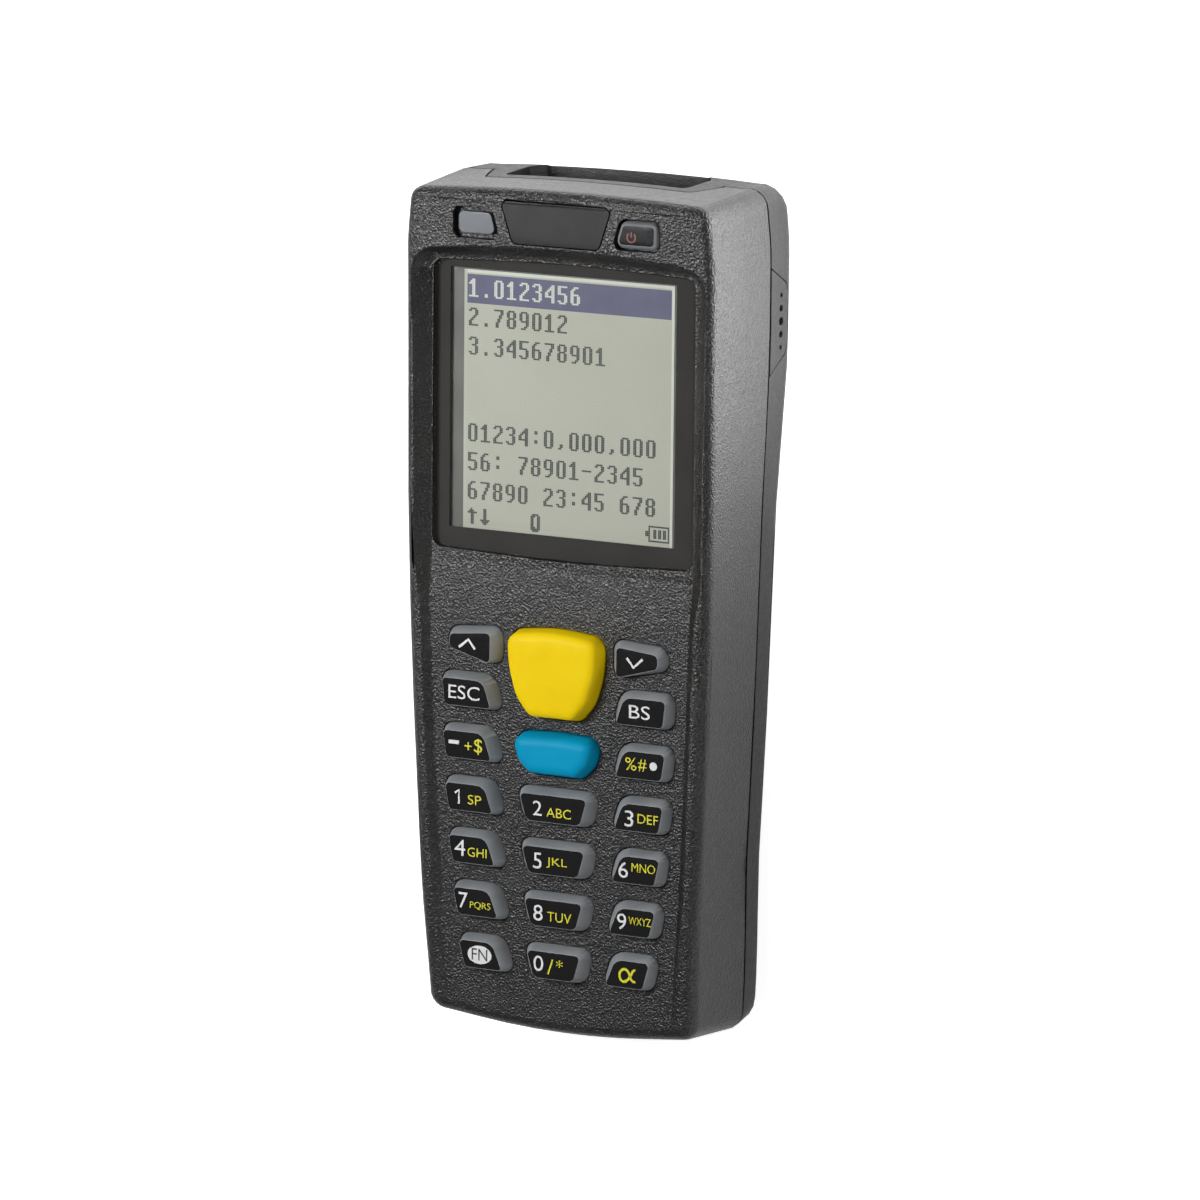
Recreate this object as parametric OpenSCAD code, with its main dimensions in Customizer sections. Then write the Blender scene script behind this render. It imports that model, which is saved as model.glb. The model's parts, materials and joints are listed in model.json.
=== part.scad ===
// Portable barcode data terminal, lying on its back.
// X runs across it, +Y points to the scan head and +Z out of the display.
// Z = 0 is the plane it rests on, and the origin is the middle of that footprint.

/* [Body] */
// Length from head to foot
body_l = 132.4; // [132:0.1:133]
// Width of the face across the head
body_w = 54.3; // [54:0.1:54.6]
// Height of the joint between the two covers
joint_z = 8.6; // [8.3:0.1:8.9]
// Wall of both covers
wall = 1.7; // [1.6:0.05:1.8]
// Radius of the long edges of the face
face_edge_r = 1.7; // [1.6:0.1:2.2]
// Radius of the edges of the back
back_edge_r = 2.9; // [2.6:0.1:3]
// Visible gap between the covers
seam = 0.3; // [0.2:0.05:0.3]

/* [Display] */
// Height of the display's front glass
screen_z = 20.5; // [20.3:0.1:20.7]
// Upper edge of the display's lit area
screen_top_y = 50.95; // [50.7:0.05:51.2]
// Width of the clear lens
lens_w = 45.7; // [45:0.1:46]
// Length of the lens at its corners
lens_l = 44.4; // [44:0.1:44.6]
// Bulge of the lens's two ends
lens_bow = 0.8; // [0:0.1:1]
// Thickness of the lens
lens_t = 1.3; // [1.1:0.1:1.4]

/* [Keys] */
// Distance from one key row to the next
row_pitch = 8.23; // [8.2:0.01:8.3]
// Middle of the uppermost full key row
first_row_y = -13.5; // [-13.6:0.1:-13.2]
// Length of a small key's top
key_l = 4.42; // [4:0.02:4.5]
// Rise of a small key above the face
key_rise = 1.75; // [1.4:0.05:1.9]
// Spread of a small key's inner wall from its top to its foot
key_flare = 1.25; // [1:0.05:1.3]
// Travel of every key
key_travel = 0.8; // [0.5:0.1:0.8]
// Gap round a key in its opening
key_gap = 0.15; // [0.1:0.01:0.15]

/* [Battery door] */
// Head end of the battery door
door_y = 13.4; // [13:0.1:13.8]
// Height of the door's side edges
door_z = 4.4; // [4.2:0.1:4.6]
// Wall of the door
door_t = 1.4; // [1.2:0.1:1.5]

/* [Battery] */
// Width of the battery pack
battery_w = 34; // [32:0.5:34]
// Length of the battery pack
battery_l = 60; // [56:0.5:60]
// Thickness of the battery pack
battery_t = 9; // [8:0.1:9]

/* [Hidden] */

// Body outline: a straight head part, a waist that narrows to the foot, bowed ends
taper_y = 28.75;
taper_l = 89;
foot_taper = 3.3;
neck_y = 53.75;
neck_l = 12;
head_taper = 1.2;
head_end = body_l/2;
head_bow = 0.0013;
foot_bow = 0.0037;
face_corner_r = 3;
back_corner_r = 4.5;
space_corner_r = 5;
head_corner_drop = 0.7;
foot_corner_drop = 1.45;
side_draft = 0.15;
head_slope = 0.75;
draft_h = 14;
head_edge_r = 1.5;
edge_fade_y = 50;
edge_fade_l = 10;
fillet_steps = 5;

function half_w(y) = body_w/2 - foot_taper*pow(max(0, taper_y - y)/taper_l, 1.8)
    - head_taper*pow(max(0, y - neck_y)/neck_l, 2);
function head_y(x) = head_end - head_bow*x*x;
function foot_y(x) = -body_l/2 + foot_bow*x*x;
function smooth(t) = let(c = min(1, max(0, t))) c*c*(3 - 2*c);

// How much wider than the face the body is at the joint, each side
waist_spread = 0.25;
head_spread = 1.05;
head_spread_y = 8;
head_spread_l = 38;
foot_spread = 1.15;
foot_spread_y = -34;
foot_spread_l = 28;
function spread(y) = waist_spread + head_spread*smooth((y - head_spread_y)/head_spread_l)
    + foot_spread*smooth((foot_spread_y - y)/foot_spread_l);

// Heights, all functions of the place along the body
lens_top = 1.8;
keypad_top = 2.5;
foot_top = 1.2;
face_crown = 0.35;
crown_fade_l = 7;
rim_fade_y = -63;
rim_fade_l = 19;
function floor_z(y) = screen_z + lookup(y, [[-body_l/2, foot_top], [0, keypad_top],
    [6.5, lens_top - 0.05], [body_l/2, lens_top - 0.05]]);
rim_top = 3.8;
rim_fall = 0.3;
brow_rise = 0.6;
brow_y = 41;
function rim_z(y) = y < 0 ? floor_z(y) + smooth((y - rim_fade_y)/rim_fade_l)
    : screen_z + rim_top - rim_fall*pow(max(0, brow_y - y)/brow_y, 1.5)
    + brow_rise*pow(max(0, y - brow_y)/(body_l/2 - brow_y), 2);
function crown(y) = face_crown*smooth((body_l/2 - abs(y))/crown_fade_l);
function back_z(y) = lookup(y, [[-body_l/2, 2.6], [17, 1.9], [38, 0.7], [body_l/2, 0.5]]);
foot_lift_y = -54;
foot_lift_l = 9;
head_lift_y = 60;
head_lift_l = 5;
function end_rise(y) = back_z(y)
    *max(smooth((foot_lift_y - y)/foot_lift_l), smooth((y - head_lift_y)/head_lift_l));
function ceiling_z(y) = lookup(y, [[-body_l/2, screen_z + foot_top - wall],
    [0, screen_z + keypad_top - wall], [6.5, screen_z - 0.8], [55.2, screen_z - 0.8],
    [56.7, screen_z + 2.2], [body_l/2, screen_z + 2.2]]);

// Right half of the outline, from the middle of the head to the middle of the foot
side_ys = [58, 56.7, 55.2, 50, 44, 38, 28.75, 17, 8, 0, -8, -16, -24, -32, -38, -44, -48, -52, -57];
function body_half(r) = let(y1 = head_end - r - head_corner_drop,
    y0 = -body_l/2 + r + foot_corner_drop) concat(
    [for (x = [0, 6, 12, 18]) [x, head_y(x)]],
    [for (a = [85:-17:0]) [half_w(y1) - r, y1] + r*[cos(a), sin(a)]],
    [for (y = side_ys) [half_w(y), y]],
    [for (a = [0:-16:-80]) [half_w(y0) - r, y0] + r*[cos(a), sin(a)]],
    [for (x = [15, 10, 5, 0]) [x, foot_y(x)]]);
function mirrored(p) = [-p[0], p[1]];
function out_normal(h, i) = let(a = i == 0 ? mirrored(h[1]) : h[i - 1],
    b = i == len(h) - 1 ? mirrored(h[i - 1]) : h[i + 1], t = (b - a)/norm(b - a)) [-t[1], t[0]];
function both_sides(right) = concat(right,
    [for (i = [len(right) - 2:-1:1]) let(p = right[i]) [-p[0], p[1], p[2]]]);
function outline_2d(inset, share = 0) = let(h = body_half(space_corner_r),
    r = [for (i = [0:len(h) - 1]) let(n = out_normal(h, i))
        concat(h[i] - (inset - share*spread(h[i][1])*abs(n[0]))*n, 0)])
    [for (p = both_sides(r)) [p[0], p[1]]];

// Solid between rings of a symmetric outline; both caps get extra points across, whose
// heights are functions of the outline's point and of the fraction of its X
across = [0.5, 0, -0.5];
module ringed(rings, low, high) {
    m = len(rings[0]);
    n = m/2 + 1;
    top = len(rings) - 1;
    function inner(k, height) = [for (i = [1:n - 2], f = across) let(p = rings[k][i])
        [p[0]*f, p[1], height(p, f)]];
    function row(k, base, i) = i == 0 || i == n - 1 ? [for (j = [0:4]) k*m + i]
        : concat(k*m + i, [for (j = [0:2]) base + 3*(i - 1) + j], k*m + m - i);
    function cap(k, base) = [for (i = [0:n - 2], j = [0:3]) let(a = row(k, base, i),
        b = row(k, base, i + 1)) each (i == 0 ? [[a[j], b[j], b[j + 1]]]
        : i == n - 2 ? [[a[j], b[j], a[j + 1]]]
        : [[a[j], b[j], b[j + 1]], [a[j], b[j + 1], a[j + 1]]])];
    function turned(faces) = [for (f = faces) [f[2], f[1], f[0]]];
    count = m*(top + 1);
    sides = [for (k = [0:top - 1], i = [0:m - 1]) let(j = (i + 1)%m)
        each [[k*m + i, k*m + j, (k + 1)*m + j], [k*m + i, (k + 1)*m + j, (k + 1)*m + i]]];
    polyhedron(
        points = concat([for (r = rings) each r], inner(0, low), inner(top, high)),
        faces = concat(sides, turned(cap(0, count)), cap(top, count + 3*(n - 2))));
}
function ring(h, place) = both_sides([for (i = [0:len(h) - 1])
    let(n = out_normal(h, i), q = place(h[i], n)) [h[i][0] - n[0]*q[0], h[i][1] - n[1]*q[0], q[1]]]);
function draft(p, n, z) = let(t = max(0, z - joint_z)/draft_h) side_draft*t
    - spread(p[1])*abs(n[0])*(1 - min(1, t)) + head_slope*max(0, n[1])*(z - joint_z)/draft_h;
function edge_r(p, n) = face_edge_r - (face_edge_r - head_edge_r)
    *max(n[1], smooth((p[1] - edge_fade_y)/edge_fade_l));

// The whole outer form, without its recess
module body_form() {
    h = body_half(face_corner_r);
    back = [for (s = [0:fillet_steps]) let(a = 90 - 90*s/fillet_steps)
        ring(body_half(back_corner_r), function(p, n)
            let(z = back_z(p[1]) + back_edge_r*(1 - sin(a)))
            [back_edge_r*(1 - cos(a)) + draft(p, n, z), z])];
    middle = [ring(h, function(p, n) [draft(p, n, joint_z), joint_z])];
    front = [for (s = [0:fillet_steps]) let(a = 90*s/fillet_steps)
        ring(h, function(p, n) let(r = edge_r(p, n), z = rim_z(p[1]) - r*(1 - sin(a)))
            [r*(1 - cos(a)) + draft(p, n, z), z])];
    ringed(concat(back, middle, front), function(p, f) end_rise(p[1]),
        function(p, f) p[2] + crown(p[1])*(1 - f*f));
}

// The space inside a wall of the given thickness
module body_space(t) {
    h = body_half(space_corner_r);
    r = back_edge_r - t;
    ringed([
        for (l = [[1, 0], [0.3, 0.3], [0, 1]]) ring(h, function(p, n)
            let(z = back_z(p[1]) + t + r*l[1]) [t + r*l[0] + draft(p, n, z), z]),
        ring(h, function(p, n) [t + draft(p, n, joint_z), joint_z]),
        for (d = [0, 1]) ring(h, function(p, n)
            let(z = ceiling_z(p[1]) - 1 + d) [t + d + draft(p, n, z), z])],
        function(p, f) t + end_rise(p[1]), function(p, f) p[2]);
}

// Outline helpers: corners rounded one by one, and the same outline grown
function unit(v) = v/norm(v);
function grown(pts, d) = let(n = len(pts)) [for (i = [0:n - 1])
    let(p = pts[i], u = unit(pts[(i + n - 1)%n] - p), v = unit(pts[(i + 1)%n] - p),
        half = acos(u*v)/2) p - unit(u + v)*d/sin(half)];
function rounded(pts, r, steps = 4) = let(n = len(pts)) [for (i = [0:n - 1])
    let(p = pts[i], ri = is_list(r) ? r[i] : r, u = unit(pts[(i + n - 1)%n] - p),
        v = unit(pts[(i + 1)%n] - p), half = acos(u*v)/2, c = p + unit(u + v)*ri/sin(half),
        t = p + u*ri/tan(half) - c, start = atan2(t[1], t[0]))
    for (s = [0:steps]) c + ri*[cos(start + (180 - 2*half)*s/steps),
        sin(start + (180 - 2*half)*s/steps)]];
function block(x, y0, y1) = [[-x, y0], [x, y0], [x, y1], [-x, y1]];
function flipped(pts) = [for (i = [len(pts) - 1:-1:0]) [-pts[i][0], pts[i][1]]];
function moved(pts, d) = [for (p = pts) p + d];
module prism(pts, z0, z1) { translate([0, 0, z0]) linear_extrude(z1 - z0) polygon(pts); }
module along_y(pts, y0, y1) {
    translate([0, y1, 0]) rotate([90, 0, 0]) linear_extrude(y1 - y0) polygon(pts);
}
module along_x(pts, x0, x1) {
    translate([x0, 0, 0]) rotate([90, 0, 90]) linear_extrude(x1 - x0) polygon(pts);
}
module slab(x, y0, y1, z0, z1) { translate([-x, y0, z0]) cube([2*x, y1 - y0, z1 - z0]); }

// Solid through a stack of like outlines, given as [outline, height]
module stack(levels) {
    m = len(levels[0][0]);
    top = len(levels) - 1;
    polyhedron(
        points = [for (l = levels, p = l[0]) [p[0], p[1], l[1]]],
        faces = concat([[for (i = [0:m - 1]) i]], [[for (i = [m - 1:-1:0]) top*m + i]],
            [for (k = [0:top - 1], i = [0:m - 1]) let(j = (i + 1)%m)
                each [[k*m + i, (k + 1)*m + j, k*m + j], [k*m + i, (k + 1)*m + i, (k + 1)*m + j]]]));
}

// The shallow recess of the face, with its sloping border
recess_inset = 3.85;
recess_corner_r = 2;
recess_run = 4;
recess_rise = 3.15;
head_run_less = 1.6;
lens_y = screen_top_y - 20.05;
function lens_end(x) = lens_y + lens_l/2 + lens_bow*(1 - pow(2*x/lens_w, 2));
recess_ys = [47, 38, 28.75, 17, 6.5, 0, -8, -16, -24, -32, -38, -44, -48, -52, -57, -62, -68];
module recess_form() {
    y1 = lens_y + lens_l/2 - recess_corner_r + 0.3;
    x1 = half_w(y1) - recess_inset - recess_corner_r;
    h = concat([for (x = [0, 7, 14]) [x, lens_end(x) + 0.3]],
        [for (a = [84:-12:0]) [x1, y1] + recess_corner_r*[cos(a), sin(a)]],
        [for (y = recess_ys) [half_w(y) - recess_inset, y]],
        [[10, -69], [0, -69.5]]);
    ringed([ring(h, function(p, n) [0, floor_z(p[1])]),
        ring(h, function(p, n) [-recess_run + head_run_less*max(0, n[1]),
            floor_z(p[1]) + recess_rise])],
        function(p, f) p[2], function(p, f) p[2]);
}

// A key is [outline of its foot, corner radii, outline of its top, corner radii, face height,
// top height, height of its flange's upper side]; outlines run counterclockwise
key_flange_w = 0.35;
key_flange_t = 0.6;
flange_gap = 0.1;
flange_side_gap = 0.2;
top_bevel = 0.15;
plunger_r = 1.5;
board_top = 17;
board_t = 1.2;
dome_h = 0.35;
function plus(r, d) = [for (x = r) x + d];
function reversed(r) = [for (i = [len(r) - 1:-1:0]) r[i]];
function middle(pts) = let(n = len(pts), ones = [for (p = pts) 1]) ones*pts/n;
function lowest(pts) = min([for (p = pts) p[1]]);
function face_key(foot, foot_r, pts, r, rise) = let(f = floor_z(middle(pts)[1]))
    [foot, foot_r, pts, r, f, f + rise, ceiling_z(lowest(pts) - 2) - flange_gap];
function even_key(pts, r, flare, rise) = face_key(grown(pts, flare), plus(r, flare), pts, r,
    rise);

// The wall of a small key spreads most towards the middle, and least towards the foot
flare_top = 0.8;
flare_foot = 0.35;
function small(pts, r, flare_out) = face_key([pts[0] - [key_flare, flare_foot],
    pts[1] + [flare_out, -flare_foot], pts[2] + [flare_out, flare_top],
    pts[3] + [-key_flare, flare_top]], plus(r, flare_top), pts, r, key_rise);
function left(k) = [flipped(k[0]), reversed(k[1]), flipped(k[2]), reversed(k[3]), k[4], k[5],
    k[6]];
function foot_outline(k, grow = 0) = rounded(grown(k[0], grow), plus(k[1], grow));
function top_outline(k, grow = 0) = rounded(grown(k[2], grow), plus(k[3], grow));

// Rows of side keys lean in towards the foot, and the middle ones narrow with them
side_r = [0.5, 0.9, 0.8, 2];
function row_y(i) = first_row_y - row_pitch*i;
function side_key(i) = let(a = 10.95 - 0.076*i*i, b = 19.85 - 0.11*i*i, y = row_y(i),
    h = key_l/2) small([[a, y - h], [b - 0.5 - 0.15*i, y - h], [b, y + h],
        [a + 1.45 + 0.08*i, y + h]], side_r, 0.85);
function middle_key(i) = let(w = 6.9 - 0.4*i, y = row_y(i) - 0.25, h = key_l/2)
    small([[1.25 - w, y - h], [w - 1.25, y - h], [w, y + h], [-w, y + h]], [1.3, 1.3, 0.8, 0.8],
        key_flare);
arrow = small([[11.05, -8.65], [18.45, -6.6], [18.45, -4.3], [11.05, -3.6]],
    [0.7, 0.9, 1, 0.8], 0.85);
scan = even_key([[-3.9, -15.95], [3.9, -15.95], [6.3, -13.2], [7.7, -8.5], [8, -3.3],
    [0, -2.45], [-8, -3.3], [-7.7, -8.5], [-6.3, -13.2]],
    [1.6, 1.6, 6, 14, 1.9, 30, 1.9, 14, 6], 0.35, 2.75);
enter = even_key([[-4.2, -24.85], [4.2, -24.85], [6.2, -22.9], [7.25, -19.2], [0, -18.8],
    [-7.25, -19.2], [-6.2, -22.9]], [1.6, 1.6, 2.5, 1.5, 30, 1.5, 2.5], 0.4, 2.5);
all_keys = concat([arrow, left(arrow), scan, enter], [for (i = [0:5]) side_key(i)],
    [for (i = [0:5]) left(side_key(i))], [for (i = [2:5]) middle_key(i)]);

// The forehead's small parts
badge = [[-7.6, 56.65], [7.6, 56.65], [9.6, 62.6], [8.9, 63.35], [-8.9, 63.35], [-9.6, 62.6]];
badge_r = [1.2, 1.2, 0.7, 0.6, 0.6, 0.7];
badge_floor_z = 23.7;
side_window = [[9.7, 57.05], [18.1, 57.05], [18.1, 61.85], [11.2, 61.85]];
side_window_r = [1.2, 1.2, 1.1, 1.3];
indicator_r = [0.9, 0.8, 0.9, 0.9];
indicator_inset = 0.75;
brow_ceiling_z = screen_z + 2.2;
power_flare = 0.5;
power_gap = 0.3;
power = [grown(side_window, -power_gap), side_window_r,
    grown(side_window, -power_flare - power_gap), plus(side_window_r, -power_flare), 24.4, 25,
    brow_ceiling_z - flange_gap];

module key_opening(k) { prism(foot_outline(k, key_gap), 18, 28); }
module key_base(k) {
    c = middle(k[2]);
    prism(foot_outline(k, key_flange_w), k[6] - key_flange_t, k[6]);
    translate([c[0], c[1], board_top + dome_h + key_travel + 0.05])
        cylinder(h = k[6] - key_flange_t/2 - board_top - dome_h - key_travel, r = plunger_r,
            $fn = 32);
}
module small_key(k) {
    key_base(k);
    stack([[foot_outline(k), k[6] - 0.1], [foot_outline(k), k[4] - 0.05],
        [top_outline(k), k[5] - top_bevel], [top_outline(k, -top_bevel), k[5]]]);
}
module domed_key(k) {
    key_base(k);
    stack([[foot_outline(k), k[6] - 0.1], [foot_outline(k), k[4] - 0.05],
        [top_outline(k), k[5] - 1.1], [top_outline(k, -0.12), k[5] - 0.65],
        [top_outline(k, -0.45), k[5] - 0.28], [top_outline(k, -0.95), k[5] - 0.08],
        [top_outline(k, -1.35), k[5]]]);
}

// Screws: [x, y, height of the head's seat, top of the cover's pillar]
pillar_r = 2.3;
screw_r = 0.95;
screw_head_r = 1.9;
screw_top_z = 14.5;
head_screw = [21.5, 57.7];
foot_screw = [18.2, -61.4];
head_seat_z = 3.4;
foot_seat_z = door_z + 1.5;
pillar_foot_z = 1.5;
rib_grip = 0.4;
module at_screws(p) { for (s = [-1, 1]) translate([s*p[0], p[1], 0]) children(); }

// The head's slanted tongue and the recess of the scan window, both seen from the end
tongue = [[-20.9, joint_z - 1], [20.9, joint_z - 1], [17.9, 15.5], [-17.9, 15.5]];
tongue_y = 60.5;
scan_opening = [[-14.2, 2.2], [14.2, 2.2], [16, 5.2], [16, 13.1], [-16, 13.1], [-16, 5.2]];
scan_passage = block(13.6, 3.6, 12.1);
window_y = 59.9;
window_t = 1;
seal_t = 0.3;
tunnel_y = 58.3;

// Battery bay
bay_gap = 0.5;
bay_t = 1.2;
deck_t = 1.4;
battery_y = -24;
battery_z = 3.4;
bay_x = battery_w/2 + bay_gap;
bay_y0 = battery_y - battery_l/2 - bay_gap;
bay_y1 = battery_y + battery_l/2 + bay_gap;
bay_roof_z = battery_z + battery_t + 0.1;
deck_z = door_z + 0.1;
board_posts = [[14, 4], [14, -50]];
contact_xs = [-5, 0, 5];
tab_x = 5;

// Buzzer and its grille on the right side
buzzer_x = 21.8;
buzzer_y = 45.35;
buzzer_z = 7.4;
buzzer_r = 4.8;
grille = [[41.5, 2.9], [49.9, 2.9], [51.2, 3.7], [53.8, joint_z - seam/2],
    [37.1, joint_z - seam/2], [40.2, 3.7]];
grille_hole_z = 5.2;
grille_pitch = 2;
grille_hole_r = [0.35, 0.5, 0.62, 0.5, 0.35];

function lens_pts(grow) = let(x = lens_w/2, y0 = lens_y - lens_l/2, y1 = lens_y + lens_l/2)
    rounded(grown([[-x, y0], [0, y0 - lens_bow], [x, y0], [x, y1], [0, y1 + lens_bow], [-x, y1]],
        grow), [1.7, 300, 1.7, 1.7, 300, 1.7]);
lens_floor_z = screen_z + lens_top - lens_t;
lcd_x = 21;
lcd_y0 = 10.4;
lcd_y1 = 52;
frame_floor_t = 1.7;

module front_cover() color([0.18, 0.17, 0.17]) {
    difference() {
        union() {
            difference() {
                intersection() {
                    body_form();
                    translate([-40, -80, joint_z + seam/2]) cube([80, 160, 40]);
                }
                body_space(wall);
                prism(outline_2d(wall/2, 1), joint_z - 1, joint_z + 1.4);
            }
            at_screws(head_screw) translate([0, 0, joint_z + seam/2])
                cylinder(h = brow_ceiling_z - joint_z, r = pillar_r, $fn = 48);
            at_screws(foot_screw) translate([0, 0, joint_z + seam/2])
                cylinder(h = board_top - 0.1 - joint_z - seam/2, r = pillar_r, $fn = 48);
        }
        recess_form();
        along_y(rounded(grown(tongue, seam/2), 1.4), tongue_y - 1, 80);
        prism(lens_pts(0.12), lens_floor_z, 30);
        prism(block(lcd_x + 0.2, lcd_y0 - 0.2, lcd_y1 + 0.2), 17, 30);
        for (k = all_keys) key_opening(k);
        prism(rounded(side_window, side_window_r), 18, 30);
        prism(rounded(badge, badge_r), badge_floor_z, 30);
        prism(rounded(flipped(side_window), reversed(side_window_r)), 23.5, 30);
        prism(rounded(grown(flipped(side_window), -indicator_inset), indicator_r), 18, 30);
        at_screws(head_screw) cylinder(h = screw_top_z + 0.5, r = screw_r + 0.05, $fn = 32);
        at_screws(foot_screw) cylinder(h = screw_top_z + 0.5, r = screw_r + 0.05, $fn = 32);
    }
}

module rear_cover() color([0.2, 0.19, 0.19]) {
    difference() {
        union() {
            difference() {
                intersection() {
                    body_form();
                    union() {
                        translate([-40, -80, -5]) cube([80, 160, joint_z - seam/2 + 5]);
                        along_y(rounded(grown(tongue, -seam/2), 1.4), tongue_y, 80);
                        slab(17.6, tunnel_y, tongue_y + 1, joint_z - 2, 14.5);
                    }
                }
                intersection() {
                    body_space(wall);
                    slab(40, -80, tunnel_y, -5, 30);
                }
            }
            intersection() {
                body_space(wall - rib_grip);
                union() {
                    slab(40, -80, door_y + 1.6, deck_z, deck_z + deck_t);
                    slab(40, door_y + 0.1, door_y + 1.6, 0, deck_z + deck_t);
                }
            }
            at_screws(head_screw) translate([0, 0, pillar_foot_z])
                cylinder(h = joint_z - seam/2 - pillar_foot_z, r = 3, $fn = 48);
            at_screws(foot_screw) translate([0, 0, deck_z + deck_t/2])
                cylinder(h = joint_z - seam/2 - deck_z - deck_t/2, r = 3, $fn = 48);
            translate([buzzer_x, buzzer_y - 2.2, pillar_foot_z]) cube([3, 4.4, 2]);
            difference() {
                prism(outline_2d(wall/2 + 0.1, 1), joint_z - 1.5, joint_z + 1.2);
                prism(outline_2d(wall - 0.1, 1), 0, 20);
                translate([-22, 55, 0]) cube([44, 20, 20]);
            }
            slab(bay_x + bay_t, bay_y0 - bay_t, bay_y1 + bay_t, deck_z, bay_roof_z + bay_t);
            for (p = board_posts, s = [-1, 1]) translate([s*p[0], p[1], bay_roof_z])
                cylinder(h = board_top - board_t - bay_roof_z, r = 1.4, $fn = 32);
        }
        slab(bay_x, bay_y0, bay_y1, 0, bay_roof_z);
        door_zone(0);
        slab(tab_x + 0.15, door_y - 1, door_y + 1.8, 1.7, 3.1);
        along_y(rounded(scan_opening, 1.1), window_y - seal_t, 80);
        along_y(rounded(scan_passage, 1), 50, 70);
        at_screws(head_screw) translate([0, 0, -1]) cylinder(h = head_seat_z + 1, r = 2.2,
            $fn = 48);
        at_screws(foot_screw) translate([0, 0, 0]) cylinder(h = foot_seat_z, r = 2.2, $fn = 48);
        at_screws(head_screw) cylinder(h = 20, r = screw_r + 0.2, $fn = 32);
        at_screws(foot_screw) cylinder(h = 20, r = screw_r + 0.2, $fn = 32);
        along_x(grille, 20, 30);
        buzzer_disc(0);
        for (x = contact_xs) translate([x - 0.8, bay_y1 - 0.1, 7]) cube([1.6, bay_t + 0.2, 3]);
        charge_pads(0);
    }
}

// The space that the battery door takes, seen from the side
module door_zone(less) {
    along_x(grown([[-90, -3], [door_y, -3], [door_y, door_z - 1], [door_y - 0.3, door_z - 0.3],
        [door_y - 1, door_z], [-90, door_z]], -less), -40, 40);
}
module battery_door() color([0.19, 0.18, 0.18]) {
    difference() {
        union() {
            intersection() {
                difference() {
                    body_form();
                    body_space(door_t);
                }
                door_zone(0.12);
            }
            slab(tab_x, door_y - 1.6, door_y + 1.4, 1.9, 2.9);
            for (s = [-1, 1]) translate([s*tab_x*0.8 - 0.5, door_y - 2.6, 0.7])
                cube([1, 1.6, 2.2]);
        }
        for (i = [0:4]) translate([-9, door_y - 6.5 - 2.4*i, -1]) cube([18, 1.2, 1.5]);
    }
}

module display_lens() color([0.75, 0.78, 0.75, 0.4]) {
    prism(lens_pts(0), lens_floor_z, screen_z + lens_top);
}
module lcd_panel() color([0.76, 0.76, 0.7]) {
    prism(block(lcd_x, lcd_y0, lcd_y1), board_top + frame_floor_t, screen_z);
}
module lcd_frame() color([0.85, 0.85, 0.82]) {
    difference() {
        slab(lcd_x + 1, lcd_y0 - 1, lcd_y1 + 1, board_top, screen_z - 0.9);
        slab(lcd_x, lcd_y0, lcd_y1, board_top + frame_floor_t, 30);
    }
}
module lcd_ribbon() color([0.8, 0.5, 0.15]) {
    along_x([[9.2, 18.2], [7.9, 17.9], [7.2, 17.4], [6.4, 17.3], [4.5, 17.3], [4.5, 17],
        [6.5, 17], [7.5, 17.1], [8.2, 17.6], [9.2, 17.8]], -8, 8);
}
module main_board() color([0.05, 0.35, 0.2]) {
    difference() {
        prism(outline_2d(3.4), board_top - board_t, board_top);
        at_screws(head_screw) cylinder(h = 30, r = pillar_r + 0.3, $fn = 32);
        at_screws(foot_screw) cylinder(h = 30, r = pillar_r + 0.3, $fn = 32);
    }
}
module processor_shield() color([0.75, 0.76, 0.78]) {
    difference() {
        translate([0, 21, 13.8]) cube([18, 18, 2]);
        translate([0.3, 21.3, 14.1]) cube([17.4, 17.4, 2]);
    }
}
module memory_chips() color([0.08, 0.08, 0.09]) {
    for (x = [-20, -20 + 11]) translate([x, 40, board_top - board_t - 1]) cube([8, 6, 1]);
}
module keypad_web() color([0.3, 0.33, 0.36]) {
    z0 = 18.9;
    difference() {
        intersection() {
            prism(outline_2d(3.6), board_top, z0 + 1);
            slab(40, -59.2, 1.5, 0, 30);
        }
        intersection() {
            prism(outline_2d(4.6), board_top - 1, z0);
            slab(40, -58.6, 0.5, 0, 30);
        }
        for (k = all_keys) prism(foot_outline(k, key_flange_w + flange_side_gap), 16, 22);
    }
}
module key_domes() color([0.85, 0.8, 0.6]) {
    for (k = concat(all_keys, [power])) translate(concat(middle(k[2]), board_top))
        rotate_extrude($fn = 32) polygon([[0, 0], [2, 0], [1.6, 0.2], [0.9, dome_h],
            [0, dome_h]]);
}
module badge_plate() color([0.28, 0.27, 0.27]) {
    intersection() {
        body_form();
        prism(rounded(grown(badge, -0.12), plus(badge_r, -0.1)), badge_floor_z, 30);
    }
}
module indicator_window() color([0.5, 0.53, 0.58]) {
    pts = grown(flipped(side_window), -indicator_inset);
    prism(rounded(pts, indicator_r), brow_ceiling_z - 0.4, 24.35);
    prism(rounded(grown(pts, 0.8), indicator_r), brow_ceiling_z - 0.8, brow_ceiling_z);
}
module status_led() color([0.95, 0.95, 0.85]) {
    translate([-15, 58.5, board_top]) cube([2.4, 1.6, 1.1]);
    translate([-13.8, 59.3, board_top + 1.1]) cylinder(h = 0.4, r = 0.7, $fn = 24);
}
module scan_window() color([0.1, 0.02, 0.03]) {
    along_y(rounded(grown(scan_opening, -0.1), 1), window_y, window_y + window_t);
}
module window_seal() color([0.05, 0.05, 0.05]) {
    difference() {
        along_y(rounded(grown(scan_opening, -0.1), 1), window_y - seal_t, window_y);
        along_y(rounded(grown(scan_passage, 0.3), 1), 50, 70);
    }
}
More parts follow.
